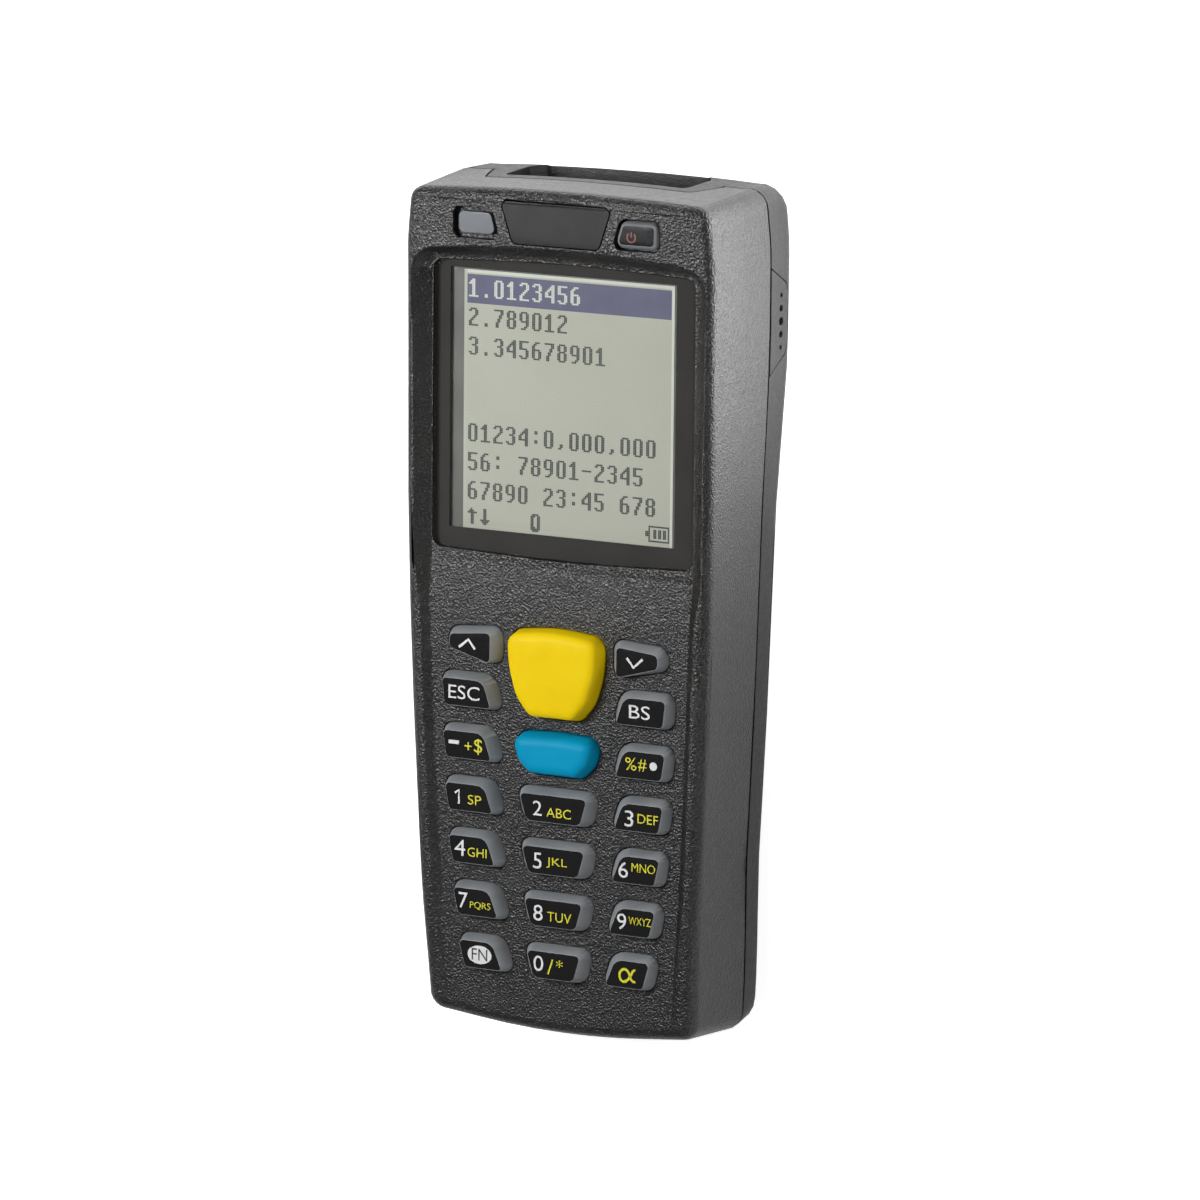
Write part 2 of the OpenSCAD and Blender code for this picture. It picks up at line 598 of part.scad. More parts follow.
module scan_engine() color([0.12, 0.12, 0.13]) {
    difference() {
        slab(13.5, 46, tunnel_y - 0.1, 1.9, 13.2);
        slab(11.5, 50, 70, 4, 11.8);
    }
}
module scan_lens() color([0.6, 0.7, 0.8, 0.6]) {
    translate([0, 50, 7.9]) rotate([-90, 0, 0]) {
        cylinder(h = 2.4, r = 3.4, $fn = 48);
        cylinder(h = 3.4, r = 2.6, $fn = 48);
    }
}
module scan_leds() color([0.9, 0.2, 0.15]) {
    for (x = [-9.4, -6, 6, 9.4]) translate([x, 50, 7.9]) rotate([-90, 0, 0])
        cylinder(h = 2, r = 1.3, $fn = 32);
}
module buzzer_disc(less) {
    translate([buzzer_x, buzzer_y, buzzer_z]) rotate([0, 90, 0])
        cylinder(h = 4.6, r = buzzer_r - less, $fn = 64);
}
module buzzer() color([0.1, 0.1, 0.1]) {
    difference() {
        buzzer_disc(0);
        translate([buzzer_x + 3.5, buzzer_y, buzzer_z]) rotate([0, 90, 0])
            cylinder(h = 2, r = 0.9, $fn = 24);
    }
}
module buzzer_grille() color([0.17, 0.16, 0.16]) {
    difference() {
        intersection() {
            body_form();
            union() {
                along_x(grille, 20, body_w/2 + spread(buzzer_y) - 0.6);
                along_x(grown(grille, -0.12), 20, 30);
            }
        }
        body_space(wall - 0.1);
        for (i = [0:4]) translate([20, buzzer_y + grille_pitch*(2 - i), grille_hole_z])
            rotate([0, 90, 0]) cylinder(h = 10, r = grille_hole_r[i], $fn = 24);
    }
}
module battery_pack() color([0.25, 0.32, 0.42]) {
    prism(rounded(moved(block(battery_w/2, -battery_l/2, battery_l/2), [0, battery_y]), 1.5),
        battery_z, battery_z + battery_t);
}
module battery_contacts() color([0.85, 0.68, 0.3]) {
    for (x = contact_xs) translate([x - 0.8, 0, 0]) {
        translate([0, bay_y1 - bay_gap, 7]) cube([1.6, bay_t + bay_gap + 0.5, 3]);
        translate([0, bay_y1 + bay_t, 7]) cube([1.6, 0.5, board_top - board_t - 7]);
    }
}
module charge_pads(less) {
    for (i = [-1.5:1:1.5]) translate([4*i - 1.2 + less, -body_l/2 + 0.25, 5.9 + less])
        cube([2.4 - 2*less, 3.2, 1.8 - 2*less]);
}
module charge_contacts() color([0.88, 0.7, 0.3]) { charge_pads(0); }
module coin_cell() color([0.8, 0.8, 0.8]) {
    translate([-12, 27, 13.2]) cylinder(h = 2.6, r = 6.25, $fn = 64);
}
module coin_cell_clip() color([0.7, 0.7, 0.72]) {
    translate([-14.5, 19.8, 12.9]) cube([5, 14.4, 0.3]);
    for (y = [19.8, 33.9]) translate([-14.5, y, 12.9]) cube([5, 0.3, 2.9]);
}
module case_screw(seat) {
    difference() {
        translate([0, 0, seat - 1.3]) cylinder(h = 1.3, r = screw_head_r, $fn = 48);
        for (a = [0, 90]) rotate([0, 0, a]) translate([-1.1, -0.25, seat - 2]) cube([2.2, 0.5, 1.3]);
    }
    translate([0, 0, seat]) cylinder(h = screw_top_z - seat, r = screw_r, $fn = 32);
}
module case_screws() color([0.5, 0.5, 0.52]) {
    at_screws(head_screw) case_screw(head_seat_z);
    at_screws(foot_screw) case_screw(foot_seat_z);
}

dark_key = [0.24, 0.26, 0.28];
module power_key() color(dark_key) small_key(power);
module scan_key() color([0.95, 0.82, 0.1]) domed_key(scan);
module enter_key() color([0, 0.57, 0.77]) domed_key(enter);
module up_key() color(dark_key) small_key(left(arrow));
module down_key() color(dark_key) small_key(arrow);
module escape_key() color(dark_key) small_key(left(side_key(0)));
module backspace_key() color(dark_key) small_key(side_key(0));
module minus_key() color(dark_key) small_key(left(side_key(1)));
module percent_key() color(dark_key) small_key(side_key(1));
module key_1() color(dark_key) small_key(left(side_key(2)));
module key_2() color(dark_key) small_key(middle_key(2));
module key_3() color(dark_key) small_key(side_key(2));
module key_4() color(dark_key) small_key(left(side_key(3)));
module key_5() color(dark_key) small_key(middle_key(3));
module key_6() color(dark_key) small_key(side_key(3));
module key_7() color(dark_key) small_key(left(side_key(4)));
module key_8() color(dark_key) small_key(middle_key(4));
module key_9() color(dark_key) small_key(side_key(4));
module key_0() color(dark_key) small_key(middle_key(5));
module function_key() color(dark_key) small_key(left(side_key(5)));
module alpha_key() color(dark_key) small_key(side_key(5));

front_cover();
rear_cover();
battery_door();
display_lens();
lcd_panel();
lcd_frame();
lcd_ribbon();
main_board();
processor_shield();
memory_chips();
keypad_web();
key_domes();
badge_plate();
indicator_window();
status_led();
scan_window();
window_seal();
scan_engine();
scan_lens();
scan_leds();
buzzer();
buzzer_grille();
battery_pack();
battery_contacts();
charge_contacts();
coin_cell();
coin_cell_clip();
case_screws();
power_key();
scan_key();
enter_key();
up_key();
down_key();
escape_key();
backspace_key();
minus_key();
percent_key();
key_1();
key_2();
key_3();
key_4();
key_5();
key_6();
key_7();
key_8();
key_9();
key_0();
function_key();
alpha_key();
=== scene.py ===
# %% [markdown]
# # A portable barcode data terminal
# This notebook dresses a finished construction model. The construction already holds every
# piece at its real size: two plastic covers, a display under a clear lens, 21 rubber keys,
# a scan window and a sliding battery door. What it lacks is how things look: grain, gloss,
# printing and softened edges. We add those here and move nothing.

# %% Load the frame
import json
import math

import bmesh
import bpy
from mathutils import Matrix, Vector
from mathutils.bvhtree import BVHTree


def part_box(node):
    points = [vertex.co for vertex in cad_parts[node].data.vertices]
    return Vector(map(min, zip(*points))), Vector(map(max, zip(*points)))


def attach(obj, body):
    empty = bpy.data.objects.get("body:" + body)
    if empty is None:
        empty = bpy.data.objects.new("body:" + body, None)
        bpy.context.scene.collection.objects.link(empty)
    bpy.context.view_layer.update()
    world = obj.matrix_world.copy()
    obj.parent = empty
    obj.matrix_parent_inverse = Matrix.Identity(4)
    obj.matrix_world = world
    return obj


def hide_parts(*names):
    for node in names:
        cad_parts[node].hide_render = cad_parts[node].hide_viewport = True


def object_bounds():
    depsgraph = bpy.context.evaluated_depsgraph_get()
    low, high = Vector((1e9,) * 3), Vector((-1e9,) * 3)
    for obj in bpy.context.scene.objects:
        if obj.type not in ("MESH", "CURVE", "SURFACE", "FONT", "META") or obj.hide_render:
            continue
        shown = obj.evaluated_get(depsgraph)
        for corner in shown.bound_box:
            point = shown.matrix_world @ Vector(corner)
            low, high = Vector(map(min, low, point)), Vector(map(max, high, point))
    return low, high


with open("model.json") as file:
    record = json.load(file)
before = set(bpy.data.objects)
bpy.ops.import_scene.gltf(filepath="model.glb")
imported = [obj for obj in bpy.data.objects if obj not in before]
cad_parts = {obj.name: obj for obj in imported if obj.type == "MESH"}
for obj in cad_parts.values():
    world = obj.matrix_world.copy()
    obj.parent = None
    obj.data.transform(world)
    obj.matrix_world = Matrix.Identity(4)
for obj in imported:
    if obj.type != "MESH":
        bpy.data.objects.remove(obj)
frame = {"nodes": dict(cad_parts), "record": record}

cad_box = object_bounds()
nodes = frame["nodes"]
body_of = {name: body for body, names in frame["record"]["behaviour"]["bodies"].items()
           for name in names}
slot_of = {part["node"]: part["material_slot"] for part in frame["record"]["subparts"]}

# %% [markdown]
# ## Units and places
# Blender works in metres, but the real object is measured in millimetres. `mm` turns one
# into the other, so that every number below reads as it would on a drawing. X runs across
# the terminal, Y points to the scan head and Z comes out of the display.

# %% Millimetres
MM = 0.001


def mm(*values):
    return Vector(values) * MM


DISPLAY_TOP = mm(0, 50.95, 20.5)        # middle of the display's upper edge, on its glass
low, high = cad_box
print("size in mm:", [round((high[i] - low[i]) / MM, 1) for i in range(3)])

# %% [markdown]
# ## The camera
# A long lens far away keeps the rows of keys nearly parallel. A camera could be dragged to
# its place by hand, but numbers give the same view every time. Two turns and a small roll
# aim it, and it then moves aside until the display's upper edge lies on a chosen pixel.

# %% Camera
YAW, PITCH, ROLL = (math.radians(a) for a in (29.6, 9.85, 0.54))
DISTANCE = 1216.07 * MM
LENS_MM, SENSOR_MM, IMAGE = 240, 36, 1200
AIM_PIXEL = Vector((569.25, 282.0))     # where the display's upper edge falls in the image

back = Vector((math.sin(YAW) * math.cos(PITCH), math.sin(PITCH),
               math.cos(YAW) * math.cos(PITCH)))
level_right = Vector((0, 1, 0)).cross(back).normalized()
level_up = back.cross(level_right)
right = math.cos(ROLL) * level_right + math.sin(ROLL) * level_up
up = math.cos(ROLL) * level_up - math.sin(ROLL) * level_right
pixels_per_unit = LENS_MM / SENSOR_MM * IMAGE
aside = (AIM_PIXEL.x - IMAGE / 2) / pixels_per_unit * DISTANCE
below = (AIM_PIXEL.y - IMAGE / 2) / pixels_per_unit * DISTANCE
place = DISPLAY_TOP + DISTANCE * back - aside * right + below * up

camera_data = bpy.data.cameras.new("camera")
camera_data.lens = LENS_MM
camera_data.sensor_width = SENSOR_MM
camera_data.clip_start, camera_data.clip_end = 0.01, 20
camera = bpy.data.objects.new("camera", camera_data)
camera.matrix_world = Matrix.Translation(place) @ Matrix((right, up, back)).transposed().to_4x4()
bpy.context.scene.collection.objects.link(camera)
bpy.context.scene.camera = camera
print("camera at", [round(c, 3) for c in place])

# %% [markdown]
# ## Nodes and noises
# A moulded or rubber surface is never one flat colour. Its colour drifts over a few
# millimetres, its gloss over one or two, and a fine grain gives it its touch. A painted
# image could hold all that, but it blurs up close, so every pattern here is a noise that is
# worked out where it is seen. All noises read Object coordinates, so a grain of 0.4 mm is
# written as 0.4 mm. Values that don't vary are set on the shader's own sockets.

# %% Nodes and noises
def link(tree, source, target):
    tree.links.new(source, target)


def add_node(tree, kind, **settings):
    """A node whose sockets and settings are given by name."""
    node = tree.nodes.new(kind)
    for name, value in settings.items():
        if name in node.inputs:
            node.inputs[name].default_value = value
        else:
            setattr(node, name, value)
    return node


def noise(tree, size_mm, detail=2.0, distortion=0.0):
    """A noise whose lumps are about size_mm across."""
    places = add_node(tree, "ShaderNodeTexCoord")
    texture = add_node(tree, "ShaderNodeTexNoise", Scale=1 / (size_mm * MM), Detail=detail,
                       Distortion=distortion)
    link(tree, places.outputs["Object"], texture.inputs["Vector"])
    return texture.outputs["Fac"]


NOISE_RANGE = 0.3, 0.7                  # a noise stays mostly between these


def spread(tree, value, low, high):
    """Maps a noise to a range."""
    node = add_node(tree, "ShaderNodeMapRange")
    for name, number in zip(("From Min", "From Max", "To Min", "To Max"),
                            (*NOISE_RANGE, low, high)):
        node.inputs[name].default_value = number
    link(tree, value, node.inputs["Value"])
    return node.outputs["Result"]


COLOUR_A, COLOUR_B, COLOUR_OUT = 6, 7, 2    # a Mix node's sockets for colours


def mixed(tree, factor, first, second):
    """A colour between two others."""
    node = add_node(tree, "ShaderNodeMix", data_type="RGBA")
    node.inputs[COLOUR_A].default_value = (*first, 1)
    node.inputs[COLOUR_B].default_value = (*second, 1)
    link(tree, factor, node.inputs["Factor"])
    return node.outputs[COLOUR_OUT]


def bumped(tree, heights):
    """A chain of bumps, each given as (height, depth in mm)."""
    normal = None
    for height, depth_mm in heights:
        bump = add_node(tree, "ShaderNodeBump", Distance=depth_mm * MM)
        link(tree, height, bump.inputs["Height"])
        if normal:
            link(tree, normal, bump.inputs["Normal"])
        normal = bump.outputs["Normal"]
    return normal


print("noises ready")

# %% [markdown]
# ## One recipe for most finishes
# Most pieces need the same things: two close colours, a range of roughness and some layers
# of fine grain. Each could have a node tree of its own, but one function with a few numbers
# keeps them alike and easy to compare. A layer of grain is given as its size, its depth, its
# detail and its twist.

# %% A finish of two colours
GLOSS_FINER = 6                         # gloss varies in spots this many times smaller


def finish(name, dark, light, rough, grain=(), blotch_mm=9, **sockets):
    """A surface of two close colours, with a range of roughness and layers of fine grain."""
    material = bpy.data.materials.new(name)
    material.use_nodes = True
    tree = material.node_tree
    shader = tree.nodes["Principled BSDF"]
    for socket, value in sockets.items():
        shader.inputs[socket.replace("_", " ")].default_value = value
    link(tree, mixed(tree, spread(tree, noise(tree, blotch_mm), 0, 1), dark, light),
         shader.inputs["Base Color"])
    link(tree, spread(tree, noise(tree, blotch_mm / GLOSS_FINER), *rough),
         shader.inputs["Roughness"])
    if grain:
        layers = [(noise(tree, size, detail, twist), depth) for size, depth, detail, twist in grain]
        link(tree, bumped(tree, layers), shader.inputs["Normal"])
    return material


print("recipe for finishes ready")

# %% [markdown]
# ## Cover plastics
# The front cover has a leather-like moulded grain that catches light in small specks. Such
# a grain is etched into the mould. Sculpting it would take millions of faces, so it is a
# bump: cells of a Voronoi texture, bent by a noise, give its closed pebbles, where a plain
# noise would look like dust. The same cells colour the plastic by height: painted shade
# darkens the valleys, and a painted highlight lightens the rises.
# The rear half and the recess are etched finer. Inside the joint between the covers hardly
# any light returns, so shade is painted on its walls and lips as a dull black.

# %% Cover plastics
BEND_SIZE, BEND_REACH = 1.3, 0.9        # size and strength of the bending noise, in pebbles
BLOTCH_MM, BLOTCH_SHARE = 14, 0.25      # broad patches of lighter and darker plastic
DUST_SIZE, DUST_DEPTH = 0.6, 0.5        # a finer grain on top, as shares of the pebbles
GLOSS_SIZE = 3                          # spots of different gloss, in pebbles


def leather(name, shaded_valley, lit_peak, rough, pebble_mm, depth_mm, gloss=0.5):
    """Moulded plastic whose bump, colour and gloss follow the same small pebbles; the colour is
    painted shade in the valleys and a painted highlight on the rises.
    """
    material = bpy.data.materials.new(name)
    material.use_nodes = True
    tree = material.node_tree
    shader = tree.nodes["Principled BSDF"]
    shader.inputs["Specular IOR Level"].default_value = gloss
    places = add_node(tree, "ShaderNodeTexCoord")
    bend = add_node(tree, "ShaderNodeTexNoise", Scale=1 / (pebble_mm * BEND_SIZE * MM), Detail=1.0)
    shift = add_node(tree, "ShaderNodeVectorMath", operation="MULTIPLY_ADD")
    shift.inputs[1].default_value = (pebble_mm * BEND_REACH * MM,) * 3
    cells = add_node(tree, "ShaderNodeTexVoronoi", feature="SMOOTH_F1",
                     Scale=1 / (pebble_mm * MM), Smoothness=0.5)
    link(tree, places.outputs["Object"], bend.inputs["Vector"])
    link(tree, bend.outputs["Color"], shift.inputs[0])
    link(tree, places.outputs["Object"], shift.inputs[2])
    link(tree, shift.outputs[0], cells.inputs["Vector"])
    pebbles = cells.outputs["Distance"]
    blotches = spread(tree, noise(tree, BLOTCH_MM), -BLOTCH_SHARE, BLOTCH_SHARE)
    shade = add_node(tree, "ShaderNodeMath", operation="ADD", use_clamp=True)
    link(tree, pebbles, shade.inputs[0])
    link(tree, blotches, shade.inputs[1])
    # painted shade and highlight: the colour darkens in the bump's valleys and lightens on its
    # rises
    link(tree, mixed(tree, shade.outputs[0], shaded_valley, lit_peak), shader.inputs["Base Color"])
    link(tree, spread(tree, noise(tree, pebble_mm * GLOSS_SIZE), *rough),
         shader.inputs["Roughness"])
    dust = noise(tree, pebble_mm * DUST_SIZE, 2)
    layers = [(dust, depth_mm * DUST_DEPTH), (pebbles, depth_mm)]
    link(tree, bumped(tree, layers), shader.inputs["Normal"])
    return material


# in each leather below, the first colour is painted shade in the valleys and the second a painted
# highlight on the rises
FRONT_PLASTIC = leather("front_plastic", (0.0012, 0.0010, 0.0009), (0.015, 0.0131, 0.0120),
                        (0.31, 0.39), 0.33, 0.13, gloss=0.80)
RECESS_PLASTIC = leather("recess_plastic", (0.0120, 0.0113, 0.0108), (0.0230, 0.0218, 0.0210),
                         (0.34, 0.42), 0.16, 0.012)
REAR_PLASTIC = leather("rear_plastic", (0.0040, 0.0038, 0.0037), (0.016, 0.0150, 0.0146),
                       (0.40, 0.50), 0.28, 0.040)
SMOOTH_PLASTIC = finish("smooth_plastic", (0.008, 0.0075, 0.0073), (0.011, 0.0103, 0.0100),
                        (0.38, 0.46), [(0.25, 0.004, 2, 0)], Specular_IOR_Level=0.25)
# painted shade: near-black for the joint's walls and lips, where hardly any light returns
GAP_PAINTED_SHADE = finish("gap_painted_shade", (0.0010, 0.0010, 0.0010), (0.0020, 0.0020, 0.0020),
                     (0.8, 0.9), Specular_IOR_Level=0.1)
print("cover plastics ready")

# %% [markdown]
# ## Joined copies
# The construction arrives as loose triangles, and every edge on it is a knife's edge. Its
# own meshes stay as they are. A copy with its points merged and its flat faces made whole
# can be shaded smoothly, and bevels run cleanly along its edges.

# %% Joined copies
MERGE_MM, FLAT_DEGREES = 0.002, 0.6     # closer points are one, and so are flatter faces


def joined_copy(name):
    """The node's shape with its points merged and its flat faces made whole."""
    form = bmesh.new()
    form.from_mesh(nodes[name].data)
    for layer in list(form.loops.layers.float_vector):
        form.loops.layers.float_vector.remove(layer)
    bmesh.ops.remove_doubles(form, verts=form.verts, dist=MERGE_MM * MM)
    bmesh.ops.dissolve_limit(form, angle_limit=math.radians(FLAT_DEGREES), verts=form.verts,
                             edges=form.edges, use_dissolve_boundaries=False, delimit=set())
    form.normal_update()
    return form


print("joined copies ready")

# %% [markdown]
# ## Which edges to soften
# Every mould leaves a small radius on an edge, and that radius is what catches light. A
# Bevel modifier would round every sharp edge, also the hundreds inside the shells that no
# one sees. So each edge sends a ray outwards: where the ray meets a wall, the edge lies
# inside and stays as it is.

# %% Seen edges
SHORTEST = 0.02 * MM                    # shorter edges are left alone
OFF_EDGE, REACH = 0.05 * MM, 80 * MM    # a ray starts this far off its edge and goes this far
ANY_TURN = 181                          # degrees, more than any edge can turn


def middle_of(edge):
    return (edge.verts[0].co + edge.verts[1].co) / 2


def ray_tree(names):
    """The walls of some nodes, ready to be hit by rays."""
    walls = bmesh.new()
    for name in names:
        walls.from_mesh(nodes[name].data)
    tree = BVHTree.FromBMesh(walls)
    walls.free()
    return tree


SHELLS = ray_tree(["front_cover", "rear_cover", "battery_door"])


def seen_edges(form, sharper_than, blunter_than=ANY_TURN, walls=SHELLS):
    """Edges within a range of angles whose outward ray meets no wall."""
    found = []
    for edge in form.edges:
        if not edge.is_manifold or edge.calc_length() < SHORTEST:
            continue
        if not sharper_than < math.degrees(edge.calc_face_angle(0)) < blunter_than:
            continue
        outward = (edge.link_faces[0].normal + edge.link_faces[1].normal).normalized()
        start = middle_of(edge) + OFF_EDGE * outward
        if walls.ray_cast(start, outward, REACH)[0] is None:
            found.append(edge)
    return found


def soften(form, edges, radius_mm, segments=2):
    """Rounds some edges, if there are any."""
    if edges:
        bmesh.ops.bevel(form, geom=edges, affect="EDGES", offset=radius_mm * MM,
                        offset_type="OFFSET", segments=segments, profile=0.5, material=-1,
                        clamp_overlap=False)
        form.normal_update()


print("softening ready")

# %% [markdown]
# ## Pieces that stand for a node
# A piece could also be placed by moving its object, but here its place is in its mesh, so
# that patterns on Object coordinates stay put. Weighted normals keep large faces flat
# beside a rounded edge.

# %% Finished pieces
SMOOTH_BELOW, SHARP_DEGREES = 32, 30    # blunter edges look smooth, sharper ones are rounded


def keep_piece(form, name, materials, body, slot, smooth_below=SMOOTH_BELOW, stands_for=None,
               evenly=True):
    """Turns a finished bmesh into a piece that rides on a body."""
    mesh = bpy.data.meshes.new(name)
    form.to_mesh(mesh)
    form.free()
    mesh.shade_smooth()
    mesh.set_sharp_from_angle(angle=math.radians(smooth_below))
    mesh.materials.clear()
    for material in (materials if isinstance(materials, list) else [materials]):
        mesh.materials.append(material)
    piece = bpy.data.objects.new(name, mesh)
    bpy.context.scene.collection.objects.link(piece)
    if evenly:
        weighted = piece.modifiers.new("even_shading", "WEIGHTED_NORMAL")
        weighted.keep_sharp = True
    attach(piece, body)
    if stands_for:
        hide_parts(stands_for)


def skin(form, name, materials, **settings):
    """A piece that stands for the node that its form was copied from."""
    print(name, "faces:", len(form.faces))
    keep_piece(form, name + "_skin", materials, body_of[name], slot_of[name],
               stands_for=name, **settings)


def softened(name, materials, radius_mm=0.0, walls=SHELLS):
    """A skin whose sharp and visible edges are rounded."""
    form = joined_copy(name)
    if radius_mm:
        soften(form, seen_edges(form, SHARP_DEGREES, walls=walls), radius_mm)
    skin(form, name, materials)


print("pieces ready")

# %% [markdown]
# ## The front cover
# The grain stops at the shallow recess: its sloping border is almost smooth. The border
# could be a piece of its own, but on the real cover it is one moulding, so we pick its faces
# by where they lie and which way they look, and give them the recess plastic. The recess
# has the widest rounding, and the joint, the key openings and the display's pocket have
# narrow ones.

# %% Front cover
BORDER_TURN, SHARP_TURN = 33, 60        # degrees, the recess's blunt edges turn between these
BORDER_MM, POCKET_MM, EDGE_MM = 0.3, 0.07, 0.13     # radii
LENS_FOOT_Y, RECESS_FADES_Y = 8, -50    # beside the lens the recess leaves a narrow strip
POCKET_X, POCKET_Y = 23.5, 54.5         # sides and head end of the display's pocket
SLOPE_X, SLOPE_Y0, SLOPE_Y1, SLOPE_Z = 26, 5, 57, 21.5      # where the sloping border lies
SLOPE_UP, FACE_UP = 0.6, 0.93           # its faces look up between these, 1 being straight up


def front_cover_form():
    form = joined_copy("front_cover")
    border = [e for e in seen_edges(form, BORDER_TURN, SHARP_TURN)
              if middle_of(e).y > RECESS_FADES_Y * MM
              and (e.is_convex or middle_of(e).y < LENS_FOOT_Y * MM)]
    soften(form, border, BORDER_MM, segments=3)
    pocket = [e for e in seen_edges(form, SHARP_TURN) if abs(middle_of(e).x) < POCKET_X * MM
              and LENS_FOOT_Y * MM < middle_of(e).y < POCKET_Y * MM]
    soften(form, pocket, POCKET_MM)
    sharp = seen_edges(form, SHARP_TURN)
    print("narrow edges:", len(sharp))
    soften(form, sharp, EDGE_MM)
    for face in form.faces:
        centre = face.calc_center_median() / MM
        sloping = SLOPE_UP < face.normal.z < FACE_UP and abs(centre.x) < SLOPE_X
        face.material_index = int(sloping and centre.z > SLOPE_Z
                                  and SLOPE_Y0 < centre.y < SLOPE_Y1)
    return form


front = front_cover_form()

# %% [markdown]
# ## Painted shade in the joint
# A narrow joint runs between the covers, and shade is painted on its walls and lips. These
# could be picked by hand, face by face. Here each face sends a short ray instead, and where
# that meets the other cover close by, the face belongs to the joint. The lips beside those
# walls are narrow, so the mark then grows, over narrow faces only.

# %% Walls and lips of the joint
JOINT_Z, JOINT_REACH = 8.6, 0.25        # the joint's height, and how far from it a wall lies
LEVEL_UP = 0.95                         # a level wall looks up or down by at least this
OFF_WALL, GAP_REACH = 0.01, 0.5         # a ray starts this far off a face and goes this far
NARROW_MM, LIP_STEPS = 0.07, 2          # width of a lip's faces, and how many lie side by side


def is_narrow(face):
    length = sum(edge.calc_length() for edge in face.edges)
    return face.calc_area() < NARROW_MM * MM * length


def mark_gap(form, index, others):
    """Paints shade on the walls and the lips of a joint to other pieces, as a material of their
    own.
    """
    walls = ray_tree(others)
    marked = set()
    for face in form.faces:
        centre = face.calc_center_median()
        flat_wall = (abs(face.normal.z) > LEVEL_UP
                     and abs(centre.z - JOINT_Z * MM) < JOINT_REACH * MM)
        start = centre + OFF_WALL * MM * face.normal
        if flat_wall or walls.ray_cast(start, face.normal, GAP_REACH * MM)[0] is not None:
            marked.add(face)
    for _ in range(LIP_STEPS):
        marked |= {other for face in marked for edge in face.edges for other in edge.link_faces
                   if is_narrow(other)}
    for face in marked:
        face.material_index = index
    print("faces of the joint:", len(marked))


mark_gap(front, 2, ["rear_cover"])
skin(front, "front_cover", [FRONT_PLASTIC, RECESS_PLASTIC, GAP_PAINTED_SHADE])

# %% [markdown]
# ## Rear cover, door and forehead parts
# The rear cover wraps round the head, and the battery door slides on it. The door, the
# buzzer's grille and the cover come from the same kind of mould, so they share one plastic
# and nearly one radius. Only the badge plate is smooth, as a plate meant for a sign is.

# %% Rear cover, door and forehead parts
REAR_MM, INSERT_MM = 0.12, 0.1          # radii
rear = joined_copy("rear_cover")
soften(rear, seen_edges(rear, SHARP_DEGREES), REAR_MM)
mark_gap(rear, 1, ["front_cover", "battery_door"])
skin(rear, "rear_cover", [REAR_PLASTIC, GAP_PAINTED_SHADE])
softened("battery_door", REAR_PLASTIC, REAR_MM)
softened("buzzer_grille", REAR_PLASTIC, INSERT_MM)
softened("badge_plate", SMOOTH_PLASTIC, INSERT_MM)

# %% [markdown]
# ## Key materials
# Each small key is grey-blue rubber with a glossy black cap let into its top. Round the cap
# the rubber's rounded edge has a painted highlight: a paler rubber where that edge catches
# the light. The two large keys are coloured right through, so their gloss is kept low and
# the colour stays full. The power key lies where it would mirror a lamp, and its cap is a
# duller black of its own.

# %% Key materials
KEY_RUBBER = finish("key_rubber", (0.27, 0.285, 0.30), (0.33, 0.345, 0.36), (0.45, 0.55),
                    [(0.25, 0.005, 2, 0)], blotch_mm=4)
# painted highlight: a paler rubber for the rim round each cap, where its edge catches the light
RIM_PAINTED_HIGHLIGHT = finish("rim_painted_highlight", (0.50, 0.52, 0.54), (0.60, 0.62, 0.64), (0.30, 0.42),
                    [(0.25, 0.004, 2, 0)], blotch_mm=3)
CAP_BLACK = finish("cap_black", (0.0020, 0.0020, 0.0022), (0.0035, 0.0035, 0.0038), (0.14, 0.22),
                   [(3.5, 0.012, 1, 0)], blotch_mm=4)
YELLOW_RUBBER = finish("yellow_rubber", (0.95, 0.66, 0.002), (0.99, 0.71, 0.004), (0.42, 0.52),
                       [(0.3, 0.006, 2, 0)], blotch_mm=5, Specular_IOR_Level=0.12)
BLUE_RUBBER = finish("blue_rubber", (0.0, 0.32, 0.56), (0.0, 0.35, 0.61), (0.42, 0.52),
                     [(0.3, 0.006, 2, 0)], blotch_mm=5, Specular_IOR_Level=0.12)
POWER_CAP = finish("power_cap", (0.0060, 0.0060, 0.0063), (0.0085, 0.0085, 0.0088), (0.24, 0.32),
                   [(3.5, 0.012, 1, 0)], blotch_mm=4, Specular_IOR_Level=0.12)
print("key materials ready")

# %% [markdown]
# ## Small keys
# The construction gives each key its outline and its sloping sides. The rim could be a ring
# laid on top, but it is the key's own edge, so that edge gets a small radius, and the faces
# of the radius that look up take a paler rubber as a painted highlight.

# %% Small keys
small_keys = [name for name in nodes if (name.startswith("key_") and name != "key_domes")
              or (name.endswith("_key") and name not in ("scan_key", "enter_key"))]
RIM_MM, RIM_TURN = 0.04, 0.3            # radius, and the turn in radians of a rim's edge
EDGE_BAND, RIM_BAND = 0.2, 0.17         # how far below the top its edges and the rim reach
# the rim's faces that look up between these take the painted highlight
RIM_UP, TOP_UP = 0.3, 0.98              # the rim's faces look up between these


def top_face(form):
    return max(form.faces, key=lambda f: (round(f.normal.z, 2),
                                          round(f.calc_center_median().z / MM, 3), f.calc_area()))


